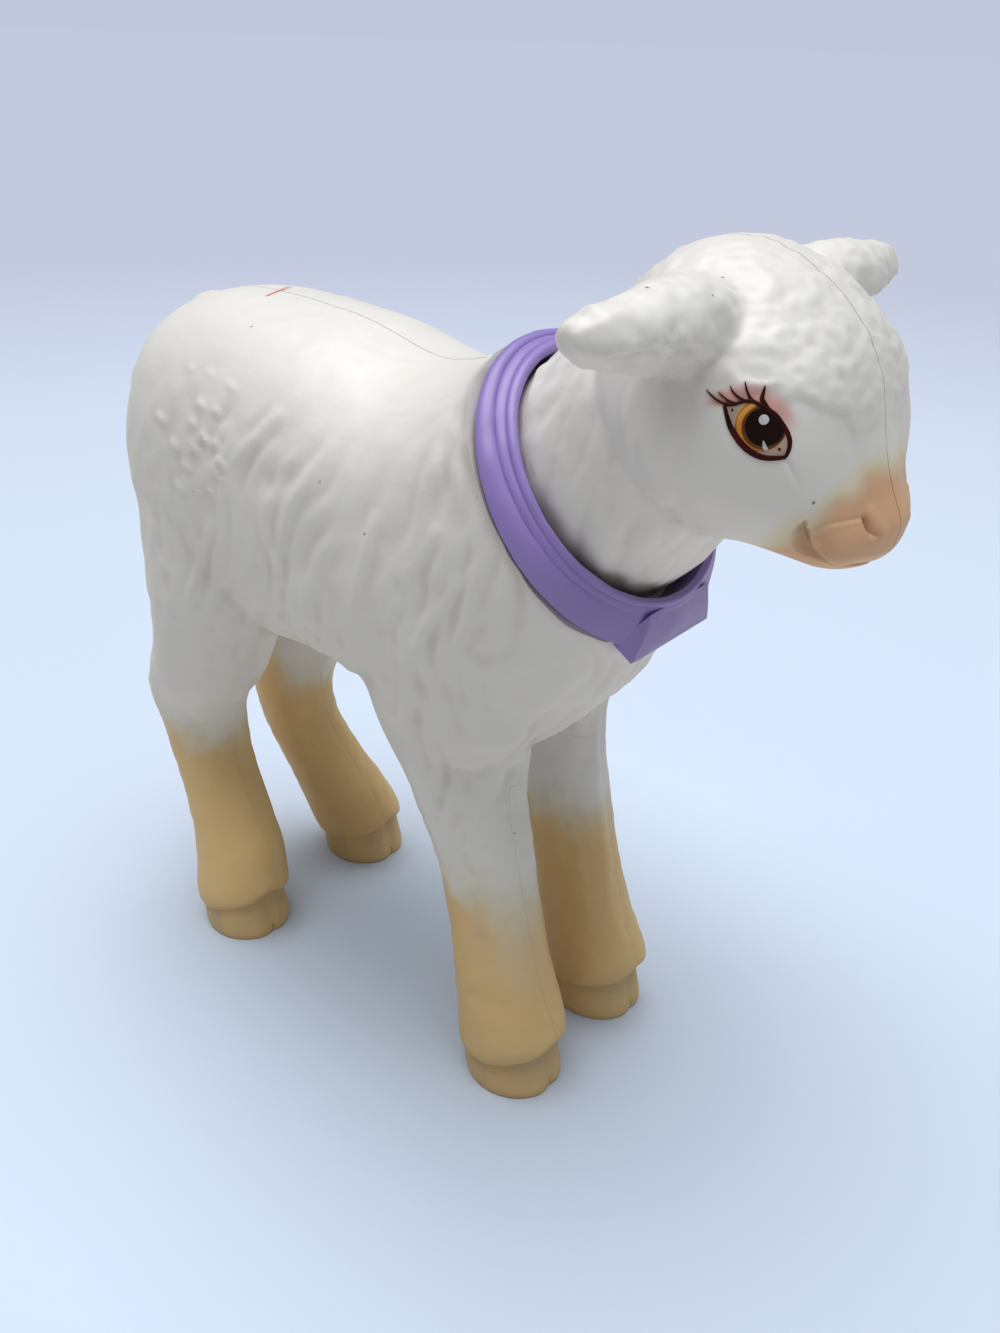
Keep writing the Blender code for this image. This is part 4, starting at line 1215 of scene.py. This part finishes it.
def collar_section(angle):
    """Outline of the ring at one angle: rim band, narrow rib and broad outer band, softer at the chest."""
    chest_share = (1 + cos(angle)) / 2
    edge_radius = COLLAR_BACK_RADIUS + (COLLAR_CHEST_RADIUS - COLLAR_BACK_RADIUS) * chest_share
    start = Vector((COLLAR_BORE_RADIUS + COLLAR_RIM, 0))
    edge = Vector((edge_radius, collar_back(edge_radius, angle) + COLLAR_BACK_STEP))
    marks = [start]
    for at_back, at_chest in zip(COLLAR_GROOVES_AT_BACK, COLLAR_GROOVES_AT_CHEST):
        radius = at_back + (at_chest - at_back) * chest_share
        marks.append(start.lerp(edge, (radius - start.x) / (edge.x - start.x)))
    marks.append(edge)
    slope = (edge - start).normalized()
    out = Vector((-slope.y, slope.x))
    liner, inner = COLLAR_BORE_RADIUS - LINER_THICKNESS, COLLAR_BORE_RADIUS - LINER_CLEARANCE
    rounding = COLLAR_RIM * RIM_ROUNDING_SHARE
    points = [(liner, -LINER_DEPTH), (liner, -COLLAR_RIM)]
    points += [(COLLAR_BORE_RADIUS + rounding, -rounding), tuple(start)]
    for first, second, lift, chest_lift in zip(marks, marks[1:], COLLAR_BAND_LIFTS, COLLAR_CHEST_LIFT_SHARES):
        raised = lift * (1 + (chest_lift - 1) * chest_share ** 2)
        for step in range(1, BAND_STEPS + 1):
            share = step / BAND_STEPS
            points.append(tuple(first.lerp(second, share) + out * raised * sin(pi * share) ** BAND_CURVE))
    for radius in (edge_radius - COLLAR_BACK_STEP, SEAT_RADIUS):
        points.append((radius, collar_back(radius, angle)))
    return points + [(SEAT_RADIUS, -COLLAR_LIP), (inner, -COLLAR_LIP), (inner, -LINER_DEPTH)]


def tag():
    """Faceted tag at the ring's lowest point: two flat faces that meet in a crease, its edges softened."""
    corners = [TAG_TOP, TAG_CREASE]
    for down, half_width in ((TAG_FOOT, TAG_FOOT_HALF_WIDTH), (TAG_SHOULDER, TAG_SHOULDER_HALF_WIDTH)):
        corners.append((down, half_width, collar_back(down, 0)))

    def build(bm):
        for down, half_width, height in corners:
            bm.verts.new((down, half_width, height))
            bm.verts.new((down, -half_width, height))
        bmesh.ops.convex_hull(bm, input=bm.verts)
        bmesh.ops.bevel(bm, geom=bm.edges, offset=TAG_ROUNDING, segments=3, affect="EDGES", profile=0.5)

    return cut(mesh_from(build, neck_frame()), neck_cylinder(SEAT_RADIUS, -OVERRUN, -COLLAR_LIP))


def shade(mesh):
    mesh.shade_smooth()
    mesh.set_sharp_from_angle(angle=SHARP_ANGLE)


def place_piece(name, mesh, material, body):
    """Add a finished piece that stands for its CAD node and rides on that node's body."""
    shade(mesh)
    obj = add_object(name + "_look", mesh, material)
    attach(obj, body)
    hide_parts(name)
    return obj


def paint(mesh, masks):
    """Keep masks from 0 to 1 on the points of a piece, for its material to read."""
    for name, values in masks.items():
        layer = mesh.attributes.new(name, "FLOAT", "POINT")
        layer.data.foreach_set("value", np.clip(values, 0, 1))


def paint_white(mesh, **masks):
    """Keep all masks of the white plastic on a piece, blank where none is given."""
    blank = np.zeros(len(mesh.vertices))
    paint(mesh, {"crease": creases(mesh)} | {name: masks.get(name, blank) for name in WHITE_MASKS})


def creases(mesh):
    """How deep each point lies below the points around it, from 0 to 1."""
    places, normals = points_of(mesh)
    ends = np.empty(len(mesh.edges) * 2, int)
    mesh.edges.foreach_get("vertices", ends)
    first, second = ends.reshape(-1, 2).T
    number = np.maximum(np.bincount(ends, minlength=len(places)), 1)

    def around(values):
        """Mean of the neighbours' values at each point."""
        total = np.zeros_like(values)
        for one, other in ((first, second), (second, first)):
            np.add.at(total, one, values[other])
        return (total.T / number).T

    depth = np.einsum("ij,ij->i", around(places) - places, normals)
    for _ in range(CREASE_SPREAD):
        depth = (depth + around(depth)) / 2
    return np.clip(depth / CREASE_DEPTH, 0, 1)


def trunk_paint(mesh):
    """Sprayed tan on the lower legs and hooves, painted shade at the collar and its seat, chest seam grime,
    marks of use.
    """
    places, normals = points_of(mesh)
    x, y, z = places.T / MM
    facing = normals[:, 0]
    uneven = z + sum(waves(places, size, seed=seed) * swing for size, swing, seed in TAN_WAVES)
    hind = ramp(x, *TAN_HIND)
    inner = ramp(np.abs(y) - np.where(x < LEGS_PART, *LEG_MIDDLES), *TAN_INSIDE)
    inner_rise = TAN_HIND_INNER_RISE * hind * ramp(facing, *TAN_HIND_FACE)
    inner_rise += TAN_INNER_BACK_RISE * ramp(facing, *TAN_BACK_FACE)
    edge = TAN_EDGE + TAN_HIND_RISE * hind * (1 - facing) + inner * inner_rise
    edge += TAN_LEFT_RISE * ramp(y, *TAN_LEFT)
    thin = ramp(facing, *THIN_FACE) * ramp(uneven, *THIN_HEIGHTS) * ramp(y, *THIN_SIDE) * (1 - hind)
    down, aside, along = told_from(neck_frame(), places).T
    # Painted shade along the trunk where the collar's back meets it
    behind_collar = bell(along + COLLAR_DEPTH, COLLAR_EDGE_SHADE_SPREAD) * COLLAR_EDGE_SHADE
    behind_collar *= ramp(np.abs(down) + np.abs(aside), *COLLAR_EDGE_SHADE_REACH)
    # Painted shade on the seat's wall inside the collar
    inside = ramp(along + COLLAR_DEPTH, -SEAT_SHADE_FADE, SEAT_SHADE_FADE)
    inside *= ramp(np.hypot(down, aside), *SEAT_SHADE)
    seam = bell(y, SEAM_HALF_WIDTH) * ramp(z, *SEAM_FOOT) * ramp(x, *SEAM_CHEST) * SEAM_GRIME
    specks = marked(places, stubs(TRUNK_SPECKS), SPECK_RADIUS)
    scuffs = marked(places, GREY_SCUFFS, SCUFF_HALF_WIDTH) * GREY_SCUFF_DEPTH
    paint_white(mesh, tan=ramp(uneven - edge, TAN_FADE, -TAN_FADE) * (1 - THIN_COAT * thin),
                grime=np.max([behind_collar, inside, seam], axis=0), dark_mark=np.maximum(specks, scuffs),
                red_mark=marked(places, [RED_SCUFF], SCUFF_HALF_WIDTH))


def head_paint(mesh, lid, lines):
    """Sprayed peach on the muzzle, pink over the eye, painted shade under the ear, grime and painted shade in
    neck gap and mouth.
    """
    places, normals = points_of(mesh)
    right, facing = right_sided(places, normals)
    spread = np.sum(((right / MM - PEACH_MIDDLE) / PEACH_REACH) ** 2, axis=1)
    peach = ramp(spread + waves(places, PEACH_WAVE_SIZE, seed=13.0) * PEACH_WAVE, *PEACH_EDGE)
    distance, side, share = beside_line(right, facing, lid)
    blush = ramp(distance, *BLUSH_FADE) * ramp(side, *BLUSH_EDGE) * ramp(share, *BLUSH_RUN)
    down, _, along = told_from(neck_frame(), places).T
    # Grime and painted shade in the gap round the neck, deeper below
    gap = ramp(along + waves(places, GAP_WAVE_SIZE, seed=14.0) * GAP_WAVE, *GAP_FADE)
    gap *= GAP_GRIME_AND_SHADE + GAP_GRIME_AND_SHADE_BELOW * ramp(down, *GAP_BELOW)
    # Painted shade beneath the ear
    beneath_ear = bell(np.linalg.norm(right / MM - EAR_SHADE_MIDDLE, axis=1), EAR_SHADE_REACH) * EAR_SHADE
    # Grime and painted shade in the mouth's recess under the lip
    recess = mouth_recess(right, facing, lines["mouth"])[0] * RECESS_GRIME_AND_SHADE
    paint_white(mesh, peach=peach, blush=blush, grime=np.max([gap, beneath_ear, recess], axis=0),
                dark_mark=marked(places, stubs(lines["specks"]), SPECK_RADIUS))


def node(tree, kind, values=None, **settings):
    """Add a shader node, set its properties, and set or link its inputs."""
    made = tree.nodes.new(kind)
    for name, value in settings.items():
        setattr(made, name, value)
    for name, value in (values or {}).items():
        if isinstance(value, bpy.types.NodeSocket):
            tree.links.new(value, made.inputs[name])
        else:
            made.inputs[name].default_value = value
    return made


def effect_group(name, inputs, outputs):
    """Empty node group of numbers: inputs with their names and usual values, and outputs with their names."""
    tree = bpy.data.node_groups.new(name, "ShaderNodeTree")
    for label, usual in inputs.items():
        socket = tree.interface.new_socket(name=label, in_out="INPUT", socket_type="NodeSocketFloat")
        socket.default_value = usual
    for label in outputs:
        tree.interface.new_socket(name=label, in_out="OUTPUT", socket_type="NodeSocketFloat")
    return tree, tree.nodes.new("NodeGroupInput").outputs, tree.nodes.new("NodeGroupOutput").inputs


def object_place(tree):
    return node(tree, "ShaderNodeTexCoord").outputs["Object"]


def spread_out(tree, value, low, high, **settings):
    """Node for a share: 0 below low, 1 above high."""
    return node(tree, "ShaderNodeMapRange", {"Value": value, "From Min": low, "From Max": high},
                **settings).outputs[0]


def result(tree, operation, first, second, **settings):
    """Outcome of one calculation with two numbers."""
    return node(tree, "ShaderNodeMath", {0: first, 1: second}, operation=operation, **settings).outputs[0]


def moulded_grain():
    """Faint unevenness of a moulded skin and the patchy gloss that handling gives it."""
    tree, given, out = effect_group(
        "moulded_grain", {"Grain Scale": 900, "Patch Scale": 60, "Roughness": 0.42, "Roughness Spread": 0.12},
        ("Height", "Roughness"))
    place = object_place(tree)
    fine = node(tree, "ShaderNodeTexNoise", {"Vector": place, "Scale": given["Grain Scale"], "Detail": 3})
    broad = node(tree, "ShaderNodeTexNoise", {"Vector": place, "Scale": given["Patch Scale"], "Detail": 4})
    centred = result(tree, "SUBTRACT", broad.outputs["Fac"], 0.5)
    swing = result(tree, "MULTIPLY", centred, given["Roughness Spread"])
    tree.links.new(fine.outputs["Fac"], out["Height"])
    tree.links.new(result(tree, "ADD", swing, given["Roughness"]), out["Roughness"])
    return tree


def dirt_and_crease_shade():
    """Specks and thin patches of dirt, and painted shade where a crease mask says so."""
    tree, given, out = effect_group(
        "dirt_and_crease_shade", {"Speck Scale": 260, "Speck Share": 0.1, "Patch Scale": 45, "Patch Amount": 0.2,
                         "Crease": 0, "Crease Amount": 0.5}, ("Specks", "Dirt And Shade"))
    place = object_place(tree)
    cells = node(tree, "ShaderNodeTexVoronoi", {"Vector": place, "Scale": given["Speck Scale"]})
    chance = node(tree, "ShaderNodeSeparateColor", {"Color": cells.outputs["Color"]})
    size = node(tree, "ShaderNodeMapRange",
                {"Value": chance.outputs["Green"], "To Min": 0.02, "To Max": 0.07})
    inside = result(tree, "LESS_THAN", cells.outputs["Distance"], size.outputs[0])
    picked = result(tree, "LESS_THAN", chance.outputs["Red"], given["Speck Share"])
    tree.links.new(result(tree, "MULTIPLY", inside, picked), out["Specks"])
    broad = node(tree, "ShaderNodeTexNoise",
                 {"Vector": place, "Scale": given["Patch Scale"], "Detail": 5, "Roughness": 0.6})
    cloud = spread_out(tree, broad.outputs["Fac"], 0.45, 0.75)
    patches = result(tree, "MULTIPLY", cloud, given["Patch Amount"])
    # Darkening in creases: painted shade added to the dirt patches
    folds = result(tree, "MULTIPLY", given["Crease"], given["Crease Amount"])
    tree.links.new(result(tree, "ADD", patches, folds, use_clamp=True), out["Dirt And Shade"])
    return tree


def mixed(tree, share, first, second, blend_type="MIX"):
    """Colour between two colours by a share."""
    return node(tree, "ShaderNodeMix", {0: share, 6: first, 7: second}, data_type="RGBA",
                blend_type=blend_type).outputs[2]


def mask(tree, name):
    return node(tree, "ShaderNodeAttribute", attribute_name=name).outputs["Fac"]


def sprayed(tree, name, bare, thin, full, thin_share, full_share):
    """Colour of a sprayed coat by its mask: bare skin, then a thin and the full coat from these shares on."""
    coat = node(tree, "ShaderNodeValToRGB", {"Fac": mask(tree, name)})
    stops = coat.color_ramp.elements
    stops[0].color, stops[1].color = bare, full
    stops[1].position = full_share
    stops.new(thin_share).color = thin
    return coat.outputs["Color"]


def dirt_and_shade_on(tree, dirt_and_shade, crease, patch, speck):
    """Dirt patches with painted shade in creases, and specks of dirt, with their amounts in creases, in
    patches and as specks.
    """
    dirt_and_shade_node = node(tree, "ShaderNodeGroup", {"Crease": mask(tree, "crease"), "Crease Amount": crease,
                                          "Patch Amount": patch, "Speck Share": speck}, node_tree=dirt_and_shade)
    return dirt_and_shade_node.outputs["Dirt And Shade"], dirt_and_shade_node.outputs["Specks"]


def new_material(name):
    material = bpy.data.materials.new(name)
    material.use_nodes = True
    return material, material.node_tree, material.node_tree.nodes["Principled BSDF"].inputs


def finish_skin(tree, shader, grain, colour, roughness, spread, height):
    """Link a colour, the uneven gloss and the moulded grain to a shader."""
    skin = node(tree, "ShaderNodeGroup", node_tree=grain)
    skin.inputs["Roughness"].default_value = roughness
    skin.inputs["Roughness Spread"].default_value = spread
    relief = {"Strength": 0.25, "Distance": height, "Height": skin.outputs["Height"]}
    tree.links.new(skin.outputs["Roughness"], shader["Roughness"])
    tree.links.new(node(tree, "ShaderNodeBump", relief).outputs["Normal"], shader["Normal"])
    tree.links.new(colour, shader["Base Color"])


def painted_white_plastic(grain, dirt_and_shade):
    """White plastic with sprayed tan, peach and pink, the dirt of years, and painted shade in creases and
    hollows.
    """
    material, tree, shader = new_material("painted_white_plastic")
    film, specks = dirt_and_shade_on(tree, dirt_and_shade, crease=0.55, patch=0.16, speck=0.035)
    peach = sprayed(tree, "peach", WARM_WHITE, CREAM, PEACH, thin_share=0.36, full_share=0.85)
    tan = sprayed(tree, "tan", CLEAR, THIN_TAN, TAN_OVER_WHITE, thin_share=0.35, full_share=0.95)
    colour = mixed(tree, 1.0, peach, tan, "MULTIPLY")
    # Film is dirt patches plus painted shade in creases; the grime mask is grime plus painted shade
    for share, amount, layer in ((mask(tree, "blush"), 0.8, BLUSH), (film, 0.45, SOIL_AND_SHADE), (specks, 0.6, GRIME_AND_SHADE),
                                 (mask(tree, "grime"), 0.85, GRIME_AND_SHADE)):
        colour = mixed(tree, result(tree, "MULTIPLY", share, amount), colour, layer)
    for name, layer in (("red_mark", RED_MARK), ("dark_mark", DARK_MARK)):
        colour = mixed(tree, mask(tree, name), colour, layer)
    finish_skin(tree, shader, grain, colour, roughness=0.44, spread=0.16, height=0.00012)
    return material


def lilac_plastic(grain, dirt_and_shade):
    """Lilac plastic with painted shade in its grooves, darker in patches, with a few dark specks."""
    material, tree, shader = new_material("lilac_plastic")
    film, specks = dirt_and_shade_on(tree, dirt_and_shade, crease=0.8, patch=0.12, speck=0.03)
    # Film darkens the grooves as painted shade and adds darker patches
    colour = mixed(tree, specks, mixed(tree, film, LILAC, SHADED_LILAC), GRIME_AND_SHADE)
    finish_skin(tree, shader, grain, colour, roughness=0.36, spread=0.14, height=0.0001)
    return material


def print_ink(name, colour, other, grain):
    """Printed ink with a slight change of tone from place to place."""
    material, tree, shader = new_material(name)
    cloud = node(tree, "ShaderNodeTexNoise", {"Vector": object_place(tree), "Scale": 420, "Detail": 3})
    tone = mixed(tree, spread_out(tree, cloud.outputs["Fac"], 0.35, 0.7), colour, other)
    finish_skin(tree, shader, grain, tone, roughness=0.34, spread=0.1, height=0.00005)
    shader["Specular IOR Level"].default_value = 0.07
    return material


def pale_floor():
    """Pale ground, painted darker into the distance for the camera as a falloff of light, that sends an even
    light back up.
    """
    material, tree, shader = new_material("pale_floor")
    away = node(tree, "ShaderNodeVectorMath", {0: object_place(tree)}, operation="LENGTH")
    fade = spread_out(tree, away.outputs["Value"], 0.15, 0.9, interpolation_type="SMOOTHSTEP")
    shown = mixed(tree, fade, FLOOR_COLOUR, FLOOR_FAR)
    path = node(tree, "ShaderNodeLightPath")
    tree.links.new(mixed(tree, path.outputs["Is Camera Ray"], FLOOR_BOUNCE, shown), shader["Base Color"])
    shader["Roughness"].default_value = 0.9
    return material


def eye_frame():
    """Across and up directions of the print, and the way it faces."""
    facing = Vector(EYE_FACING).normalized()
    across = Vector((0, 0, 1)).cross(facing).normalized()
    return across, facing.cross(across), facing


def skin_finder(mesh, side):
    """Function that lays a point of the print on the skin of one side, raised by lift."""
    tree = tree_of(mesh)
    across, up, facing = eye_frame()
    mirror = Matrix.Diagonal((1, -side, 1))
    middle = Vector(EYE_MIDDLE) * MM

    def place(point, lift):
        start = middle + (across * point[0] + up * point[1]) * MM + facing * PRINT_REACH
        spot, normal, _, _ = tree.ray_cast(mirror @ start, mirror @ -facing)
        return spot + normal * lift
    return place


def print_disc(bm, place, outline, middle, lift):
    """Thin closed film inside an outline."""
    edges = []
    for level in (lift, -PRINT_SINK):
        hub = bm.verts.new(place(middle, level))
        rings = []
        for step in range(1, DISC_RINGS + 1):
            points = [Vector(middle).lerp(Vector(point), step / DISC_RINGS) for point in outline]
            rings.append([bm.verts.new(place(point, level)) for point in points])
        fan(bm, hub, rings[0])
        for first, second in zip(rings, rings[1:]):
            bridge(bm, first, second)
        edges.append(rings[-1])
    bridge(bm, *edges)


def print_stroke(bm, place, points, widths, lift):
    """Thin closed film along a line whose width changes."""
    rows = refine([(*point, width) for point, width in zip(points, widths)])
    corners = [(share, lift) for share in (1, 0, -1)] + [(share, -PRINT_SINK) for share in (-1, 0, 1)]
    rings = []
    for index, (across, up, width) in enumerate(rows):
        ahead, behind = rows[min(index + 1, len(rows) - 1)], rows[max(index - 1, 0)]
        run = Vector((ahead[0] - behind[0], ahead[1] - behind[1])).normalized()
        aside = Vector((-run.y, run.x)) * width / 2
        middle = Vector((across, up))
        rings.append([bm.verts.new(place(middle + aside * share, level)) for share, level in corners])
    prism(bm, rings)


def circle(across, up, radius):
    return [(across + radius * cos(angle), up + radius * sin(angle)) for angle in angles(DISC_SIDES)]


def lid_outline():
    """Closed outline between the lids."""
    return refine(UPPER_LID) + refine(LOWER_LID)[-2:0:-1]


def held_in(outline, middle, fence):
    """Pull the points of an outline back to where their rays from the middle cross the fence."""
    held = []
    hub = Vector(middle)
    for point in outline:
        ray = Vector(point) - hub
        share = 1.0
        for start, end in zip(fence, fence[1:] + fence[:1]):
            step = Vector(end) - Vector(start)
            cross = ray.x * step.y - ray.y * step.x
            if abs(cross) < PARALLEL:
                continue
            gap = Vector(start) - hub
            along = (gap.x * step.y - gap.y * step.x) / cross
            on_fence = (gap.x * ray.y - gap.y * ray.x) / cross
            if 0 < along < share and 0 <= on_fence <= 1:
                share = along
        held.append(tuple(hub + ray * share))
    return held


def build_eye(skin, side, word, inks):
    """Printed eye: ground, iris, pupil, lids with lashes, and lights, as thin films on the skin."""
    place = skin_finder(skin, side)
    fence = lid_outline()
    discs = {"ground": [(fence, IRIS[:2])]}
    for name, ring in (("iris", IRIS), ("glow", IRIS_GLOW), ("rim", PUPIL_RIM), ("pupil", PUPIL)):
        discs[name] = [(held_in(circle(*ring), ring[:2], fence), ring[:2])]
    discs["line"] = [(circle(*dot), dot[:2]) for dot in EYE_DOTS]
    drop_middle = tuple(sum(row) / len(DROP) for row in zip(*DROP))
    discs["light"] = [(circle(*HIGHLIGHT), HIGHLIGHT[:2]), (refine(DROP + DROP[:1])[:-1], drop_middle)]
    strokes = {"line": [(UPPER_LID, UPPER_LID_WIDTHS), (LOWER_LID, LOWER_LID_WIDTHS), *LASHES]}

    def build(bm):
        for points, widths in strokes.get(name, ()):
            print_stroke(bm, place, points, widths, PRINT_LIFTS[name])
        for outline, middle in discs[name]:
            print_disc(bm, place, outline, middle, PRINT_LIFTS[name])

    for name in discs:
        mesh = mesh_from(build)
        mesh.shade_smooth()
        obj = add_object(f"{word}_eye_{name}", mesh, inks[name])
        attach(obj, "head")


def build_trunk(white):
    skin = trunk_skin()
    for side, word in ((-1, "right"), (1, "left")):
        pieces = [(f"body_{word}_shell", trunk_shell(side, skin))]
        for front, end in ((True, "front"), (False, "hind")):
            inner = keep(skin.copy(), leg_block(side, front, LEG_GAP / 2))
            pieces.append((f"{end}_{word}_leg_inner_shell", inner))
        for name, mesh in pieces:
            trunk_paint(mesh)
            place_piece(name, mesh, white, "trunk")


def build_head(white, inks):
    skin, lines = head_skin()
    place = skin_finder(skin, -1)
    lid = [tuple(place(point, 0) / MM) for point in UPPER_LID]
    for side, word in ((-1, "right"), (1, "left")):
        half = keep(skin.copy(), half_space(side))
        head_paint(half, lid, lines)
        place_piece(f"head_{word}_shell", half, white, "head")
        build_eye(skin, side, word, inks)


def build_collar(lilac):
    ring = join(neck_turned(collar_section), tag())
    places, _ = points_of(ring)
    raise_surface(ring, waves(places, COLLAR_WAVE_SIZE, seed=21.0) * COLLAR_WAVE_HEIGHT)
    places, _ = points_of(ring)
    off_tag = ramp(np.abs(places[:, 1]), TAG_SHOULDER_HALF_WIDTH, TAG_SHOULDER_HALF_WIDTH + MM)
    behind = ramp(places[:, 0], neck_centre().x, neck_centre().x - MM)
    # Crease mask for the painted shade in the collar's grooves, kept off the tag
    paint(ring, {"crease": creases(ring) * np.maximum(off_tag, behind)})
    place_piece("collar", ring, lilac, "trunk")


def build_floor():
    def build(bm):
        bmesh.ops.create_circle(bm, cap_ends=True, segments=FLOOR_SIDES, radius=FLOOR_RADIUS)
    floor = add_object("floor", mesh_from(build), pale_floor())


def build_camera():
    right = Vector((cos(CAMERA_TURN), sin(CAMERA_TURN), 0))
    toward = Vector((sin(CAMERA_TURN), -cos(CAMERA_TURN), 0))
    back = toward * cos(CAMERA_ELEVATION) + Vector((0, 0, sin(CAMERA_ELEVATION)))
    up = back.cross(right)
    across = right * cos(CAMERA_ROLL) + up * sin(CAMERA_ROLL)
    upright = up * cos(CAMERA_ROLL) - right * sin(CAMERA_ROLL)
    place = Matrix((across, upright, back)).transposed().to_4x4()
    place.translation = Vector(CAMERA_AIM) + back * CAMERA_DISTANCE
    data = bpy.data.cameras.new("camera")
    data.sensor_width = SENSOR
    data.lens = SENSOR * FOCAL_SHARE
    data.clip_start = NEAREST_SEEN
    camera = add_object("camera", data)
    camera.matrix_world = place
    bpy.context.scene.camera = camera


def lamp(name, place, strength, colour):
    """Broad soft lamp that looks at the middle of the toy."""
    data = bpy.data.lights.new(name, "SUN")
    data.energy = strength
    data.color = colour
    data.angle = LAMP_SPREAD
    obj = add_object(name, data)
    obj.location = place
    obj.rotation_euler = (Vector(LAMP_AIM) - Vector(place)).to_track_quat("-Z", "Y").to_euler()


def build_light():
    """Broad soft sky lamp from above, a weak cooler window in front, and a faint room."""
    lamp("sky_lamp", SKY_PLACE, SKY_STRENGTH, SKY_COLOUR)
    lamp("window_lamp", WINDOW_PLACE, WINDOW_STRENGTH, WINDOW_COLOUR)
    world = bpy.data.worlds.new("studio")
    bpy.context.scene.world = world
    world.use_nodes = True
    tree = world.node_tree
    room = tree.nodes["Background"]
    room.inputs["Color"].default_value = ROOM_COLOUR
    room.inputs["Strength"].default_value = ROOM_STRENGTH
    beyond = node(tree, "ShaderNodeBackground", {"Color": FAR_COLOUR, "Strength": 1.0})
    path = node(tree, "ShaderNodeLightPath")
    choose = node(tree, "ShaderNodeMixShader", {0: path.outputs["Is Camera Ray"]})
    tree.links.new(room.outputs[0], choose.inputs[1])
    tree.links.new(beyond.outputs[0], choose.inputs[2])
    tree.links.new(choose.outputs[0], tree.nodes["World Output"].inputs["Surface"])
    bpy.context.scene.view_settings.view_transform = "Standard"


def main():
    # The second group gives dirt patches, specks and painted shade in creases
    grain, dirt_and_shade = moulded_grain(), dirt_and_crease_shade()
    white, lilac = painted_white_plastic(grain, dirt_and_shade), lilac_plastic(grain, dirt_and_shade)
    inks = {
        "ground": print_ink("eye_ground_ink", EYE_GROUND, EYE_GROUND_SHADE, grain),
        "iris": print_ink("dark_amber_ink", DARK_AMBER, AMBER, grain),
        "glow": print_ink("amber_ink", AMBER, LIGHT_AMBER, grain),
        "rim": print_ink("pupil_rim_ink", RIM_BROWN, DARK_AMBER, grain),
        "pupil": print_ink("pupil_ink", PUPIL_BLACK, PUPIL_DARK, grain),
        "line": print_ink("lid_brown_ink", LID_BROWN, PUPIL_BLACK, grain),
        "light": print_ink("glint_ink", GLINT, GLINT_SHADE, grain),
    }
    build_trunk(white)
    build_head(white, inks)
    build_collar(lilac)
    build_floor()
    build_camera()
    build_light()


main()
